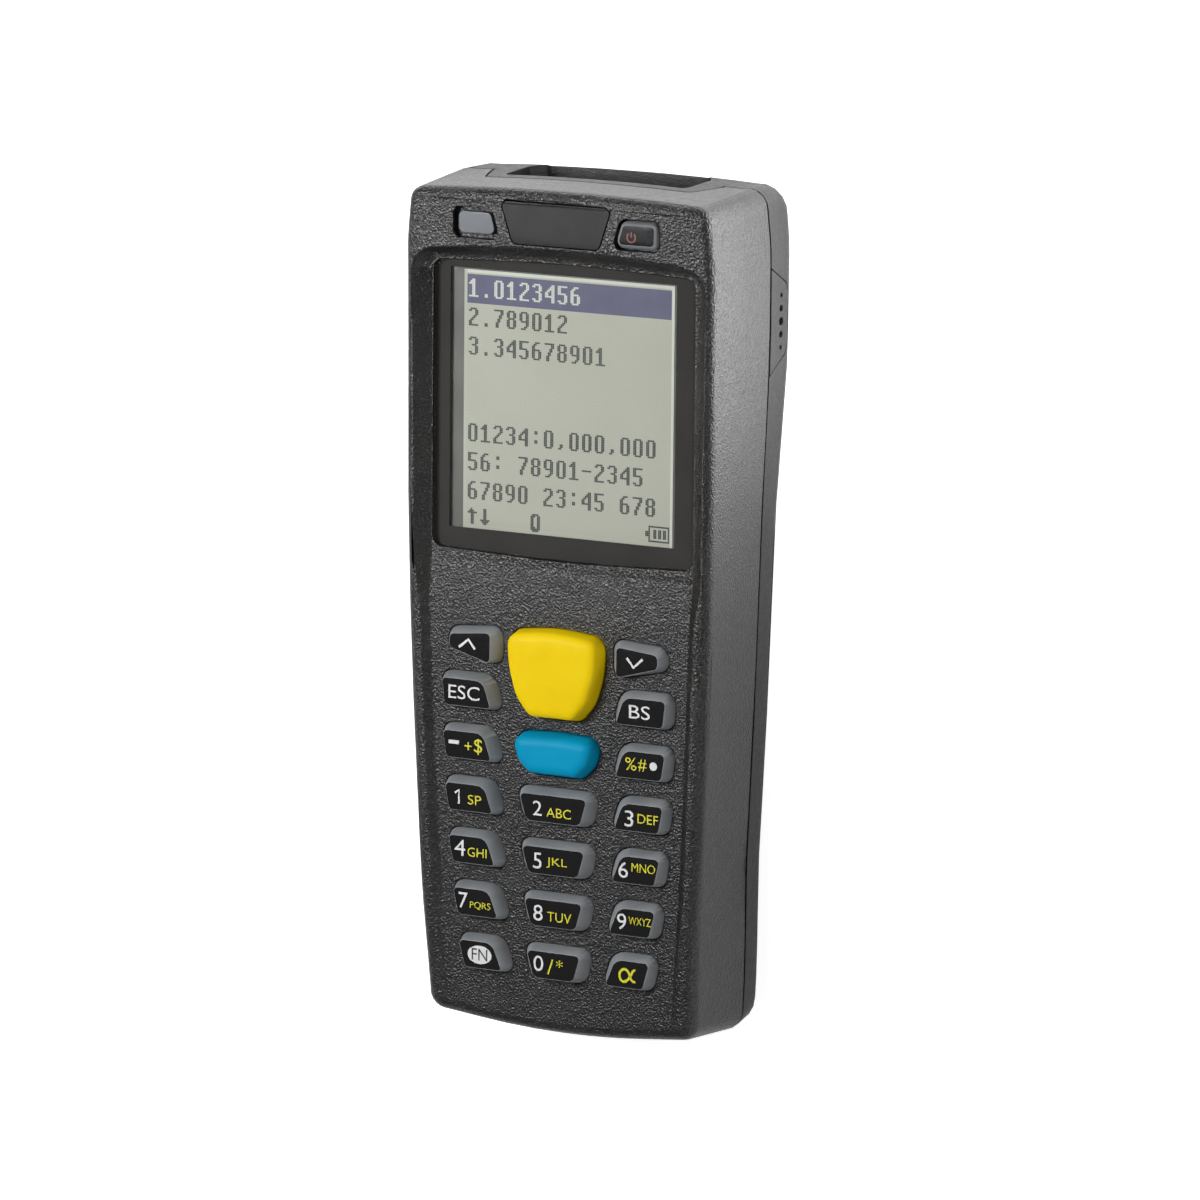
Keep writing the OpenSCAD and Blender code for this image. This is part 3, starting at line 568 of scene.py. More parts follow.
def small_key(name):
    """The rubber of a key, with a painted highlight on the rim round its top."""
    form = joined_copy(name)
    top_z = top_face(form).calc_center_median().z
    edges = [e for e in form.edges if e.is_manifold and e.calc_face_angle(0) > RIM_TURN
             and max(v.co.z for v in e.verts) > top_z - EDGE_BAND * MM]
    soften(form, edges, RIM_MM, segments=1)
    for face in form.faces:
        near_top = face.calc_center_median().z > top_z - RIM_BAND * MM
        face.material_index = int(near_top and RIM_UP < face.normal.z < TOP_UP)
    skin(form, name, [KEY_RUBBER, RIM_PAINTED_HIGHLIGHT])


print("small keys:", len(small_keys))

# %% [markdown]
# ## Key caps
# The cap's outline is the key's own top face. It could be drawn again by hand for each key,
# but reading it from the construction makes every cap fit. A new face through its corners
# is inset and raised by a hair. A few smaller copies, each a little higher, crown it, and
# that slight dome is what lets every cap catch a soft reflection.

# %% Key caps
CAP_INSET, CAP_RISE, CAP_SUNK = 0.13, 0.04, 0.02    # inwards, above and below the key's top
CAP_EDGE = 0.03                                     # radius
CAP_CROWN = [(0.86, 0.014), (0.80, 0.009), (0.70, 0.005)]   # size and rise of each step


def crown(form, rings):
    """Pushes the top face up in small steps, each copy of it a little smaller."""
    for share, rise_mm in rings:
        face = bmesh.ops.extrude_discrete_faces(form, faces=[top_face(form)])["faces"][0]
        middle = face.calc_center_median()
        bmesh.ops.scale(form, verts=face.verts, vec=(share, share, 1),
                        space=Matrix.Translation(-middle))
        bmesh.ops.translate(form, verts=face.verts, vec=mm(0, 0, rise_mm))
        form.normal_update()


def one_face(corners):
    """A new form with a single face through some corners."""
    form = bmesh.new()
    form.faces.new([form.verts.new(c) for c in corners])
    return form


def push_up(form, rise_mm):
    """Thickens a flat form upwards and returns its upper points."""
    raised = bmesh.ops.extrude_face_region(form, geom=form.faces[:])["geom"]
    top = [v for v in raised if isinstance(v, bmesh.types.BMVert)]
    bmesh.ops.translate(form, verts=top, vec=mm(0, 0, rise_mm))
    return top


def key_cap(name):
    """The black cap in the top of a small key."""
    form = joined_copy(name)
    corners = [v.co - mm(0, 0, CAP_SUNK) for v in top_face(form).verts]
    form.free()
    form = one_face(corners)
    rim = bmesh.ops.inset_region(form, faces=form.faces[:], thickness=CAP_INSET * MM,
                                 use_even_offset=True)["faces"]
    bmesh.ops.delete(form, geom=rim, context="FACES")
    top = push_up(form, CAP_RISE + CAP_SUNK)
    bmesh.ops.recalc_face_normals(form, faces=form.faces)
    edges = [e for e in form.edges if all(v in top for v in e.verts)]
    soften(form, edges, CAP_EDGE, segments=1)
    crown(form, CAP_CROWN)
    black = POWER_CAP if name == "power_key" else CAP_BLACK
    keep_piece(form, name + "_cap", black, body_of[name], slot_of[name], evenly=False)


for name in small_keys:
    small_key(name)
    key_cap(name)
print("key caps:", len(small_keys))

# %% [markdown]
# ## The two large keys
# They are soft domes without a cap. The construction gives their rise in five rings, and
# two more on the flat top keep the shading's turn near its edge. Weighted normals keep the
# flat faces of the other pieces flat, but they would draw a line round a dome, so they stay
# off here.

# %% Scan and enter keys
FLAT_RINGS = [(0.82, 0), (0.8, 0)]      # size and rise of each ring
DOME_SMOOTH = 60                        # degrees, no edge of a dome turns more
for name, material in (("scan_key", YELLOW_RUBBER), ("enter_key", BLUE_RUBBER)):
    dome = joined_copy(name)
    crown(dome, FLAT_RINGS)
    skin(dome, name, material, smooth_below=DOME_SMOOTH, evenly=False)

# %% [markdown]
# ## Display materials
# A reflective display is pale grey-green plastic with dark ink where a dot is switched on.
# It could be one flat sheet with a drawn pattern, but real dots have an edge and lie a hair
# above the field, so the field, the ink, the bar and the bright rims get a material each.
# The black print round the window has no gloss of its own, because the lens above has it.

# %% Display materials
# the panel's edge shows beside the field: its grey is partly its own inactive border and partly
# painted shade from the printed border above it
LCD_EDGE_SHADE = finish("lcd_edge_shade", (0.13, 0.125, 0.12), (0.17, 0.163, 0.157), (0.4, 0.5))
LCD_FIELD = finish("lcd_field", (0.56, 0.555, 0.475), (0.60, 0.595, 0.52), (0.5, 0.6),
                   blotch_mm=20)
LCD_BRIGHT = finish("lcd_bright", (0.74, 0.74, 0.67), (0.78, 0.78, 0.72), (0.4, 0.5))
LCD_GRID = finish("lcd_grid", (0.47, 0.465, 0.40), (0.50, 0.495, 0.43), (0.5, 0.6))
LCD_INK = finish("lcd_ink", (0.070, 0.068, 0.068), (0.095, 0.092, 0.090), (0.6, 0.7))
LCD_BAR = finish("lcd_bar", (0.150, 0.142, 0.245), (0.170, 0.162, 0.275), (0.6, 0.7), blotch_mm=3)
PRINT_BLACK = finish("print_black", (0.048, 0.0450, 0.0435), (0.056, 0.0525, 0.051), (0.3, 0.4),
                     Specular_IOR_Level=0.0)
print("display materials ready")

# %% [markdown]
# ## Clear lens
# A thin clear sheet needs no glass shader, which bends light and makes noise: what lies
# below shows through, and the share of mirrored light is Fresnel's. On the underside that
# share must be nothing, or the sheet would swallow the light that comes back up. A faint
# bump of broad scuffs keeps the reflection from being perfect.

# %% Clear lens
PLASTIC_IOR = 1.45
SCUFF_MM, SCUFF_DEPTH_MM = 6, 0.0015


def clear_plastic(name, tint, gloss_rough):
    material = bpy.data.materials.new(name)
    material.use_nodes = True
    tree = material.node_tree
    tree.nodes.remove(tree.nodes["Principled BSDF"])
    through = add_node(tree, "ShaderNodeBsdfTransparent", Color=(*tint, 1))
    gloss = add_node(tree, "ShaderNodeBsdfGlossy", Roughness=gloss_rough)
    share = add_node(tree, "ShaderNodeFresnel", IOR=PLASTIC_IOR)
    sides = add_node(tree, "ShaderNodeNewGeometry")
    front_share = add_node(tree, "ShaderNodeMath", operation="SUBTRACT", use_clamp=True)
    mix = add_node(tree, "ShaderNodeMixShader")
    scuffs = add_node(tree, "ShaderNodeBump", Distance=SCUFF_DEPTH_MM * MM)
    link(tree, noise(tree, SCUFF_MM, 3), scuffs.inputs["Height"])
    link(tree, scuffs.outputs["Normal"], gloss.inputs["Normal"])
    link(tree, share.outputs[0], front_share.inputs[0])
    link(tree, sides.outputs["Backfacing"], front_share.inputs[1])
    link(tree, front_share.outputs[0], mix.inputs[0])
    link(tree, through.outputs[0], mix.inputs[1])
    link(tree, gloss.outputs[0], mix.inputs[2])
    link(tree, mix.outputs[0], tree.nodes["Material Output"].inputs["Surface"])
    return material


LENS_CLEAR = clear_plastic("lens_clear", (0.97, 0.98, 0.97), 0.05)
softened("display_lens", LENS_CLEAR, radius_mm=0.2)

# %% [markdown]
# ## Printed border
# The lens has a dark border printed on its underside, which hides the edges of the display.
# It could be a darker colour on the lens's lower face, but a clear lens has no colour to
# change there, so the border is a real sheet. It starts as the lens's own outline, four
# cuts mark the window, and the middle is taken out.

# %% Printed border
HEAD_Y = DISPLAY_TOP.y / MM             # the display's upper edge
WINDOW_X0, WINDOW_X1 = -20.6, 19.05     # sides of the printed window
WINDOW_Y0, WINDOW_Y1 = HEAD_Y - 39.3, HEAD_Y + 1.0
BORDER_T = 0.08


def printed_border():
    form = joined_copy("display_lens")
    under = min(form.faces, key=lambda f: f.normal.z)
    outline = [v.co.copy() for v in reversed(under.verts)]
    form.free()
    form = one_face(outline)
    for place, across in ((mm(WINDOW_X0, 0, 0), (1, 0, 0)), (mm(WINDOW_X1, 0, 0), (1, 0, 0)),
                          (mm(0, WINDOW_Y1, 0), (0, 1, 0)), (mm(0, WINDOW_Y0, 0), (0, 1, 0))):
        bmesh.ops.bisect_plane(form, geom=form.verts[:] + form.edges[:] + form.faces[:],
                               plane_co=place, plane_no=across)
    window = [f for f in form.faces
              if WINDOW_X0 * MM < f.calc_center_median().x < WINDOW_X1 * MM
              and WINDOW_Y0 * MM < f.calc_center_median().y < WINDOW_Y1 * MM]
    bmesh.ops.delete(form, geom=window, context="FACES")
    push_up(form, BORDER_T)
    bmesh.ops.recalc_face_normals(form, faces=form.faces)
    keep_piece(form, "lens_border", PRINT_BLACK, "case", "lens")


printed_border()
print("window in mm:", round(WINDOW_X1 - WINDOW_X0, 2), "by", round(WINDOW_Y1 - WINDOW_Y0, 2))

# %% [markdown]
# ## Display field
# The field is the pale area that the dots stand on. Light leaks in along its right side and
# its upper edge and draws two bright rims there. All three are plates a few hundredths of a
# millimetre thick. A grid of one face that is pushed up makes such a plate, and it can lie
# anywhere.

# %% Display field
GLASS_Z = DISPLAY_TOP.z / MM
FIELD_T, RIM_T = 0.06, 0.02             # thickness of the field and of its bright rims
FIELD_X, FIELD_Z = 18.45, GLASS_Z + FIELD_T     # half of its width, and its top
FIELD_Y0, FIELD_Y1 = HEAD_Y - 39.9, HEAD_Y + 0.7
RIM_X0, RIM_X1, RIM_Y = -17.9, 18.0, HEAD_Y + 0.25      # inner edges of the rims


def sheet(form, x0, x1, y0, y1, z0):
    """Adds a rectangular face."""
    corners = bmesh.ops.create_grid(form, x_segments=1, y_segments=1, size=0.5)["verts"]
    bmesh.ops.scale(form, verts=corners, vec=mm(x1 - x0, y1 - y0, 1))
    bmesh.ops.translate(form, verts=corners, vec=mm((x0 + x1) / 2, (y0 + y1) / 2, z0))


def lcd_plate(name, x0, x1, y0, y1, z0, thick, material):
    """A thin rectangular plate on the display."""
    form = bmesh.new()
    sheet(form, x0, x1, y0, y1, z0)
    push_up(form, thick)
    bmesh.ops.recalc_face_normals(form, faces=form.faces)
    keep_piece(form, name, material, "case", "lcd")


lcd_plate("lcd_field", -FIELD_X, FIELD_X, FIELD_Y0, FIELD_Y1, GLASS_Z, FIELD_T, LCD_FIELD)
lcd_plate("lcd_rim_right", RIM_X1, FIELD_X, FIELD_Y0, FIELD_Y1, FIELD_Z, RIM_T, LCD_BRIGHT)
lcd_plate("lcd_rim_top", RIM_X0, RIM_X1, RIM_Y, FIELD_Y1, FIELD_Z, RIM_T, LCD_BRIGHT)
print("display field laid")

# %% [markdown]
# ## The grid of dots
# The display is a grid of dots, 8 across and 16 down for one character. Even the empty dots
# show, as a faint lattice of lines between them. A pattern in the material could draw it,
# but lines this thin need an exact place under the dark dots, so they are strips of a real
# sheet. The first row of characters has none, because a dark bar lies there.

# %% Grid of dots
DOT = 0.28                              # from one dot to the next
CELL_ROWS, DOTS_ACROSS, DOTS_DOWN = 16, 128, 138
CELL_W, CELL_H = 8 * DOT, CELL_ROWS * DOT
LCD_X = DOTS_ACROSS / 2 * DOT
LINE_W, LATTICE_RISE, CROSSING_RISE = 0.035, 0.004, 0.001   # width, and heights of the lines


def lattice():
    """The thin gaps between the empty dots."""
    form = bmesh.new()
    z = FIELD_Z + LATTICE_RISE
    for column in range(DOTS_ACROSS + 1):
        x = -LCD_X + column * DOT
        sheet(form, x - LINE_W / 2, x + LINE_W / 2, HEAD_Y - DOTS_DOWN * DOT, HEAD_Y - CELL_H, z)
    for row in range(CELL_ROWS, DOTS_DOWN + 1):
        y = HEAD_Y - row * DOT
        sheet(form, -LCD_X, LCD_X, y - LINE_W / 2, y + LINE_W / 2, z + CROSSING_RISE)
    print("lattice lines:", len(form.faces))
    keep_piece(form, "lcd_lattice", LCD_GRID, "case", "lcd")


lattice()

# %% [markdown]
# ## Pictures of the characters
# A font drawn with curves would look too smooth for a dot display. Each character is a small
# picture instead, with a mark for each dark dot. The digits and signs are six dots wide and
# ten rows high or a little less, and the battery at the foot is a wider one. We write only
# plain numbers and signs.

# %% Pictures of the characters
DOT_PICTURES = {
    "0": ".####. ##..## ##..## ##..## ##..## ##..## ##..## ##..## ##..## .####.",
    "1": "..##.. .###.. ####.. ..##.. ..##.. ..##.. ..##.. ..##.. ..##.. ######",
    "2": ".####. ##..## ....## ....## ...##. ..##.. .##... ##.... ##.... ######",
    "3": ".####. ##..## ....## ....## ..###. ....## ....## ....## ##..## .####.",
    "4": "....## ...### ..#### .##.## ##..## ##..## ###### ....## ....## ....##",
    "5": "###### ##.... ##.... ##.... #####. ....## ....## ....## ##..## .####.",
    "6": "..###. .##... ##.... ##.... #####. ##..## ##..## ##..## ##..## .####.",
    "7": "###### ....## ....## ...##. ...##. ..##.. ..##.. .##... .##... .##...",
    "8": ".####. ##..## ##..## ##..## .####. ##..## ##..## ##..## ##..## .####.",
    "9": ".####. ##..## ##..## ##..## ##..## .##### ....## ....## ...##. .###..",
    "-": "...... ...... ...... ...... ###### ...... ...... ...... ...... ......",
    ".": "...... ...... ...... ...... ...... ...... ...... ...... ..##.. ..##..",
    ":": "...... ..##.. ..##.. ...... ...... ...... ..##.. ..##.. ...... ......",
    ",": "...... ...... ...... ...... ...... ...... ...... ..##.. ..##.. .##...",
    "^": "..#... .###.. ###### ..##.. ..##.. ..##.. ..##.. ..##.. ..##.. ......",
    "v": "..##.. ..##.. ..##.. ..##.. ..##.. ..##.. ###### .####. ..##.. ......",
    "o": ".####. ###.## ##..## ##..## ##..## ##..## ##..## ###.## ###### .####.",
    "b": "..############# ..#...........# ..#..##.##.##.# ###..##.##.##.# ###..##.##.##.# "
         "###..##.##.##.# ..#..##.##.##.# ..#...........# ..#############",
    " ": ""}


def dots_of(character):
    """Column and row of each dark dot."""
    rows = DOT_PICTURES[character].split()
    return [(x, y) for y, row in enumerate(rows) for x, mark in enumerate(row) if mark == "#"]


print("dots in an 8:", len(dots_of("8")))

# %% [markdown]
# ## Lines on the display
# Every dot becomes its own small square with a hair of space round it, because close up a
# dot display looks like that. One mesh holds all the dots of one colour, so the display
# stays a handful of pieces. The first line is bright on a bar, and the others are dark.

# %% Lines on the display
DOT_FILL, INDENT, HEADROOM = 0.94, 1.5, 3.0     # a square's share, and a picture's place, in dots
BAR_T, INK_RISE, BRIGHT_RISE = 0.01, 0.01, 0.02     # above the field


def dot_rows(name, lines, z, material):
    """All the dots of some lines of text, each a small square."""
    form = bmesh.new()
    for row, text in lines:
        for column, character in enumerate(text):
            for x, y in dots_of(character):
                centre = mm(-LCD_X + (x + INDENT) * DOT + column * CELL_W,
                            HEAD_Y - (y + HEADROOM) * DOT - row * CELL_H, z)
                bmesh.ops.create_grid(form, x_segments=1, y_segments=1,
                                      size=DOT * DOT_FILL / 2 * MM,
                                      matrix=Matrix.Translation(centre))
    print(name, "dots:", len(form.faces))
    keep_piece(form, name, material, "case", "lcd")


lcd_plate("lcd_bar", -LCD_X, LCD_X, HEAD_Y - CELL_H, HEAD_Y, FIELD_Z, BAR_T, LCD_BAR)
dot_rows("lcd_first_line", [(0, "1.0123456")], FIELD_Z + BRIGHT_RISE, LCD_BRIGHT)
dot_rows("lcd_lines", [(1, "2.789012"), (2, "3.345678901"), (5, "01234:0,000,000"),
                       (6, "56: 78901-2345"), (7, "67890 23:45 678"),
                       (7.93, "^v   o        b")], FIELD_Z + INK_RISE, LCD_INK)

# %% [markdown]
# ## Printed text
# The legends are printed: thin, crisp, and lying on the caps. A stencil in the caps' material
# would need an image, so text objects are the natural tool. They are turned into meshes,
# because a finished piece is a mesh at the origin. Each is given as the box that its ink
# fills, in millimetres, since that is how print is measured.

# %% Printed text
PRINT_WHITE = finish("print_white", (0.80, 0.80, 0.80), (0.86, 0.86, 0.86), (0.35, 0.45))
PRINT_YELLOW = finish("print_yellow", (0.76, 0.70, 0.02), (0.80, 0.74, 0.04), (0.35, 0.45))
PRINT_RED = finish("print_red", (0.22, 0.020, 0.018), (0.26, 0.026, 0.022), (0.35, 0.45))
PRINT_DARK = finish("print_dark", (0.020, 0.020, 0.021), (0.028, 0.028, 0.029), (0.35, 0.45))
LAYER_MM, SAME_MM = 0.008, 0.001        # height of a layer of ink, and closer points are one


def on_cap(key, layer=0):
    """Height just above a key's cap."""
    crown_rise = sum(rise for _, rise in CAP_CROWN)
    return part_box(key)[1].z / MM + CAP_RISE + crown_rise + LAYER_MM * (layer + 1)


def form_of(curve):
    """What a text or a line draws, as a new form."""
    holder = bpy.data.objects.new(curve.name, curve)
    bpy.context.scene.collection.objects.link(holder)
    mesh = bpy.data.meshes.new_from_object(holder)
    bpy.data.objects.remove(holder)
    form = bmesh.new()
    form.from_mesh(mesh)
    bpy.data.meshes.remove(mesh)
    return form


def printed(name, text, key, x0, x1, y0, y1, material, layer=0):
    """Text whose ink fills the box from (x0, y0) to (x1, y1)."""
    curve = bpy.data.curves.new(name, "FONT")
    curve.body = text
    curve.resolution_u = 4
    form = form_of(curve)
    xs = [v.co.x for v in form.verts]
    ys = [v.co.y for v in form.verts]
    scale_x = (x1 - x0) * MM / (max(xs) - min(xs))
    scale_y = (y1 - y0) * MM / (max(ys) - min(ys))
    bmesh.ops.transform(form, verts=form.verts,
                        matrix=Matrix.Translation(mm(x0, y0, on_cap(key, layer)))
                        @ Matrix.Diagonal((scale_x, scale_y, 1, 1))
                        @ Matrix.Translation((-min(xs), -min(ys), 0)))
    bmesh.ops.remove_doubles(form, verts=form.verts, dist=SAME_MM * MM)
    keep_piece(form, name, material, body_of[key], slot_of[key])


print("print lies on the caps at z in mm:", round(on_cap("key_5"), 3))

# %% [markdown]
# ## Strokes and spots
# Arrows, the alpha and the power sign are lines of even width, and no letter has their
# shape. An outline drawn by hand would do, but a curve with a round bevel gives the even
# width by itself, and it only has to be pressed flat. A spot is a filled circle.

# %% Strokes and spots
PRESSED = 0.04                          # a stroke's height as a share of a round one's


def printed_stroke(name, key, points, width, material, kind="POLY"):
    """A line of even width through some points: a thin tube, pressed flat."""
    curve = bpy.data.curves.new(name, "CURVE")
    curve.dimensions = "3D"
    curve.bevel_depth = width / 2 * MM
    curve.bevel_resolution = 1
    curve.use_fill_caps = True
    line = curve.splines.new(kind)
    line.points.add(len(points) - 1)
    for point, (x, y) in zip(line.points, points):
        point.co = (x * MM, y * MM, 0, 1)
    if kind == "NURBS":
        line.order_u, line.use_endpoint_u, line.resolution_u = 3, True, 8
    form = form_of(curve)
    bmesh.ops.transform(form, verts=form.verts, matrix=Matrix.Translation(mm(0, 0, on_cap(key)))
                        @ Matrix.Diagonal((1, 1, PRESSED, 1)))
    keep_piece(form, name, material, body_of[key], slot_of[key])


def printed_spot(name, key, x, y, radius_x, radius_y, material):
    """A filled oval."""
    form = bmesh.new()
    bmesh.ops.create_circle(form, cap_ends=True, segments=40, radius=1,
                            matrix=Matrix.Translation(mm(x, y, on_cap(key)))
                            @ Matrix.Diagonal((radius_x * MM, radius_y * MM, 1, 1)))
    keep_piece(form, name, material, body_of[key], slot_of[key])


print("strokes and spots ready")

# %% [markdown]
# ## Legends on the number keys
# Each cap carries a white digit and smaller yellow letters beside it. Twenty calls could
# print them, but a table of boxes is easier to read and to correct. The 1 is drawn as a
# stroke, which gives it the flag and the even width that the others have.

# %% Legends on the number keys
LEGENDS = {                                # digit and its box, letters and their box
    "key_1": ("", 0, 0, 0, 0, "SP", -15.1, -12.7, -30.95, -29.45),
    "key_2": ("2", -3.5, -1.9, -31.4, -29.1, "ABC", -1.1, 3.25, -31.45, -29.95),
    "key_3": ("3", 12.7, 14.25, -31.4, -28.9, "DEF", 14.95, 18.55, -30.7, -29.25),
    "key_4": ("4", -17.5, -15.6, -39.2, -36.7, "GHI", -15.2, -11.75, -39.2, -37.75),
    "key_5": ("5", -3.45, -1.95, -39.75, -37.25, "JKL", -1.1, 2.55, -39.4, -37.8),
    "key_6": ("6", 11.6, 13.3, -39.5, -37.0, "MNO", 13.9, 18.0, -38.4, -37.0),
    "key_7": ("7", -16.8, -15.2, -47.5, -45.0, "PQRS", -14.8, -11.1, -47.5, -46.25),
    "key_8": ("8", -3.45, -1.8, -47.95, -45.45, "TUV", -1.0, 3.3, -47.85, -46.35),
    "key_9": ("9", 11.35, 13.0, -47.65, -45.15, "WXYZ", 13.4, 17.3, -46.7, -45.5),
    "key_0": ("0", -3.45, -1.7, -55.9, -53.5, "/", -1.0, 0.1, -56.2, -53.8)}
DIGIT_W = 0.36                          # width of the drawn digit's stroke
for key, (digit, *digit_box, letters, x0, x1, y0, y1) in LEGENDS.items():
    if digit:
        printed(key + "_digit", digit, key, *digit_box, PRINT_WHITE)
    printed(key + "_letters", letters, key, x0, x1, y0, y1, PRINT_YELLOW)
printed_stroke("key_1_digit", "key_1", [(-17.4, -29.4), (-16.7, -28.85), (-16.7, -31.05)],
               DIGIT_W, PRINT_WHITE)
print("number keys printed")

# %% [markdown]
# ## Legends on the other keys
# These keys carry words and signs of one, two or three pieces each, white for the key's own
# meaning and yellow for its second one. No two are laid out alike, so each has a call of its
# own. On the function key the letters lie one layer higher than the white oval.

# %% Legends on the other keys
ARROW_W, ALPHA_W = 0.42, 0.4            # widths of the strokes
printed_stroke("up_sign", "up_key", [(-16.6, -6.4), (-14.9, -5.05), (-13.75, -6.5)], ARROW_W,
               PRINT_WHITE)
printed_stroke("down_sign", "down_key", [(13.05, -5.2), (14.25, -6.6), (15.8, -5.2)], ARROW_W,
               PRINT_WHITE)
printed("escape_word", "ESC", "escape_key", -18.5, -12.95, -14.55, -12.4, PRINT_WHITE)
printed("backspace_word", "BS", "backspace_key", 13.45, 17.1, -14.5, -12.4, PRINT_WHITE)
printed("minus_sign", "-", "minus_key", -18.5, -16.7, -21.7, -21.1, PRINT_WHITE)
printed("plus_sign", "+", "minus_key", -15.65, -14.35, -22.45, -21.15, PRINT_YELLOW)
printed("currency_sign", "$", "minus_key", -13.95, -12.5, -23.0, -20.5, PRINT_YELLOW)
printed("percent_sign", "%", "percent_key", 12.8, 14.75, -22.6, -20.6, PRINT_YELLOW)
printed("number_sign", "#", "percent_key", 15.05, 16.5, -22.55, -20.7, PRINT_YELLOW)
printed_spot("point_sign", "percent_key", 17.7, -21.6, 0.66, 0.66, PRINT_WHITE)
printed("star_sign", "*", "key_0", 0.55, 1.75, -55.0, -53.8, PRINT_YELLOW)
printed_spot("function_oval", "function_key", -13.1, -54.6, 2.15, 1.45, PRINT_WHITE)
printed("function_letters", "FN", "function_key", -14.5, -11.7, -55.5, -53.65, PRINT_DARK,
        layer=1)
printed_stroke("alpha_sign", "alpha_key", [(14.55, -53.85), (14.2, -53.8), (13.7, -54.9),
               (13.0, -55.75), (12.2, -55.8), (11.75, -55.1), (11.9, -54.2), (12.6, -53.75),
               (13.3, -54.0), (13.75, -55.2), (14.2, -55.75), (14.6, -55.6)], ALPHA_W, PRINT_YELLOW,
               kind="NURBS")
print("other keys printed")

# %% [markdown]
# ## Power sign
# The sign on the power key is an open ring with a bar that stands in its gap. A ring of
# points, with none where the gap is, draws it with the same stroke as the arrows.

# %% Power sign
POWER_X, POWER_Y, POWER_R = 13.3, 59.15, 0.72
BAR_LENGTH, POWER_W = 0.85, 0.22
ring = [(POWER_X + POWER_R * math.sin(math.radians(a)),
         POWER_Y + POWER_R * math.cos(math.radians(a))) for a in range(40, 321, 20)]
printed_stroke("power_ring", "power_key", ring, POWER_W, PRINT_RED)
printed_stroke("power_bar", "power_key", [(POWER_X, POWER_Y), (POWER_X, POWER_Y + BAR_LENGTH)],
               POWER_W, PRINT_RED)
print("power sign printed")

# %% [markdown]
# ## Windows of the head
# The indicator is a frosted grey-blue window. The scan window is a dark red filter that
# lets only the reader's own light pass, so it looks black from straight ahead and shows the
# room at a slant. Real glass shaders would show the inner parts through both, which the
# real windows hardly do, so both are dark plastics with the right gloss. The foam seal
# round the scan window is dull black.

# %% Windows
FROSTED = finish("frosted", (0.090, 0.105, 0.125), (0.104, 0.120, 0.142), (0.28, 0.38),
                 [(0.3, 0.004, 2, 0)], blotch_mm=3)
SCAN_GLASS = finish("scan_glass", (0.020, 0.003, 0.004), (0.026, 0.004, 0.005), (0.05, 0.09))
FOAM = finish("foam", (0.010, 0.010, 0.010), (0.020, 0.020, 0.020), (0.8, 0.9),
              [(0.12, 0.03, 3, 0)], blotch_mm=1)
softened("indicator_window", FROSTED, radius_mm=0.12)
softened("scan_window", SCAN_GLASS, radius_mm=0.1)
softened("window_seal", FOAM)

# %% [markdown]
# ## Metal
# Four screws and the charging strips show on the back and foot. Metal has no colour of its
# own besides the one that it mirrors, so it is told apart by that tint, by its roughness
# and by fine brushing. One function gives all four metals their brushing. The screws lie in
# deep holes, where rays would meet the cover, so only their own walls count.

# %% Metal finishes
BRUSHING_MM = 0.003                     # depth of the brushing


def metal(name, dark, light, rough, grain_mm=0.3):
    return finish(name, dark, light, rough, [(grain_mm, BRUSHING_MM, 3, 0)], blotch_mm=3,
                  Metallic=1.0)


SCREW_STEEL = metal("screw_steel", (0.30, 0.30, 0.31), (0.38, 0.38, 0.39), (0.28, 0.40))
GOLD = metal("gold", (0.78, 0.56, 0.22), (0.86, 0.64, 0.28), (0.22, 0.32))
TIN = metal("tin", (0.55, 0.56, 0.57), (0.63, 0.64, 0.65), (0.30, 0.42), 0.6)
SPRING_STEEL = metal("spring_steel", (0.60, 0.60, 0.58), (0.68, 0.68, 0.66), (0.2, 0.3))
softened("case_screws", SCREW_STEEL, radius_mm=0.06, walls=ray_tree(["case_screws"]))
softened("charge_contacts", GOLD, radius_mm=0.08)
print("metal ready")

# %% [markdown]
# ## Inner parts
# Everything else is inside and is seen only with the door off or the covers apart, but it
# gets a real finish as well: gold, solder mask, amber film, moulded epoxy and shrink wrap.
# These parts need no softened copy, because no one sees their edges up close. A node can
# take a material straight away, and its mesh stays as it is.

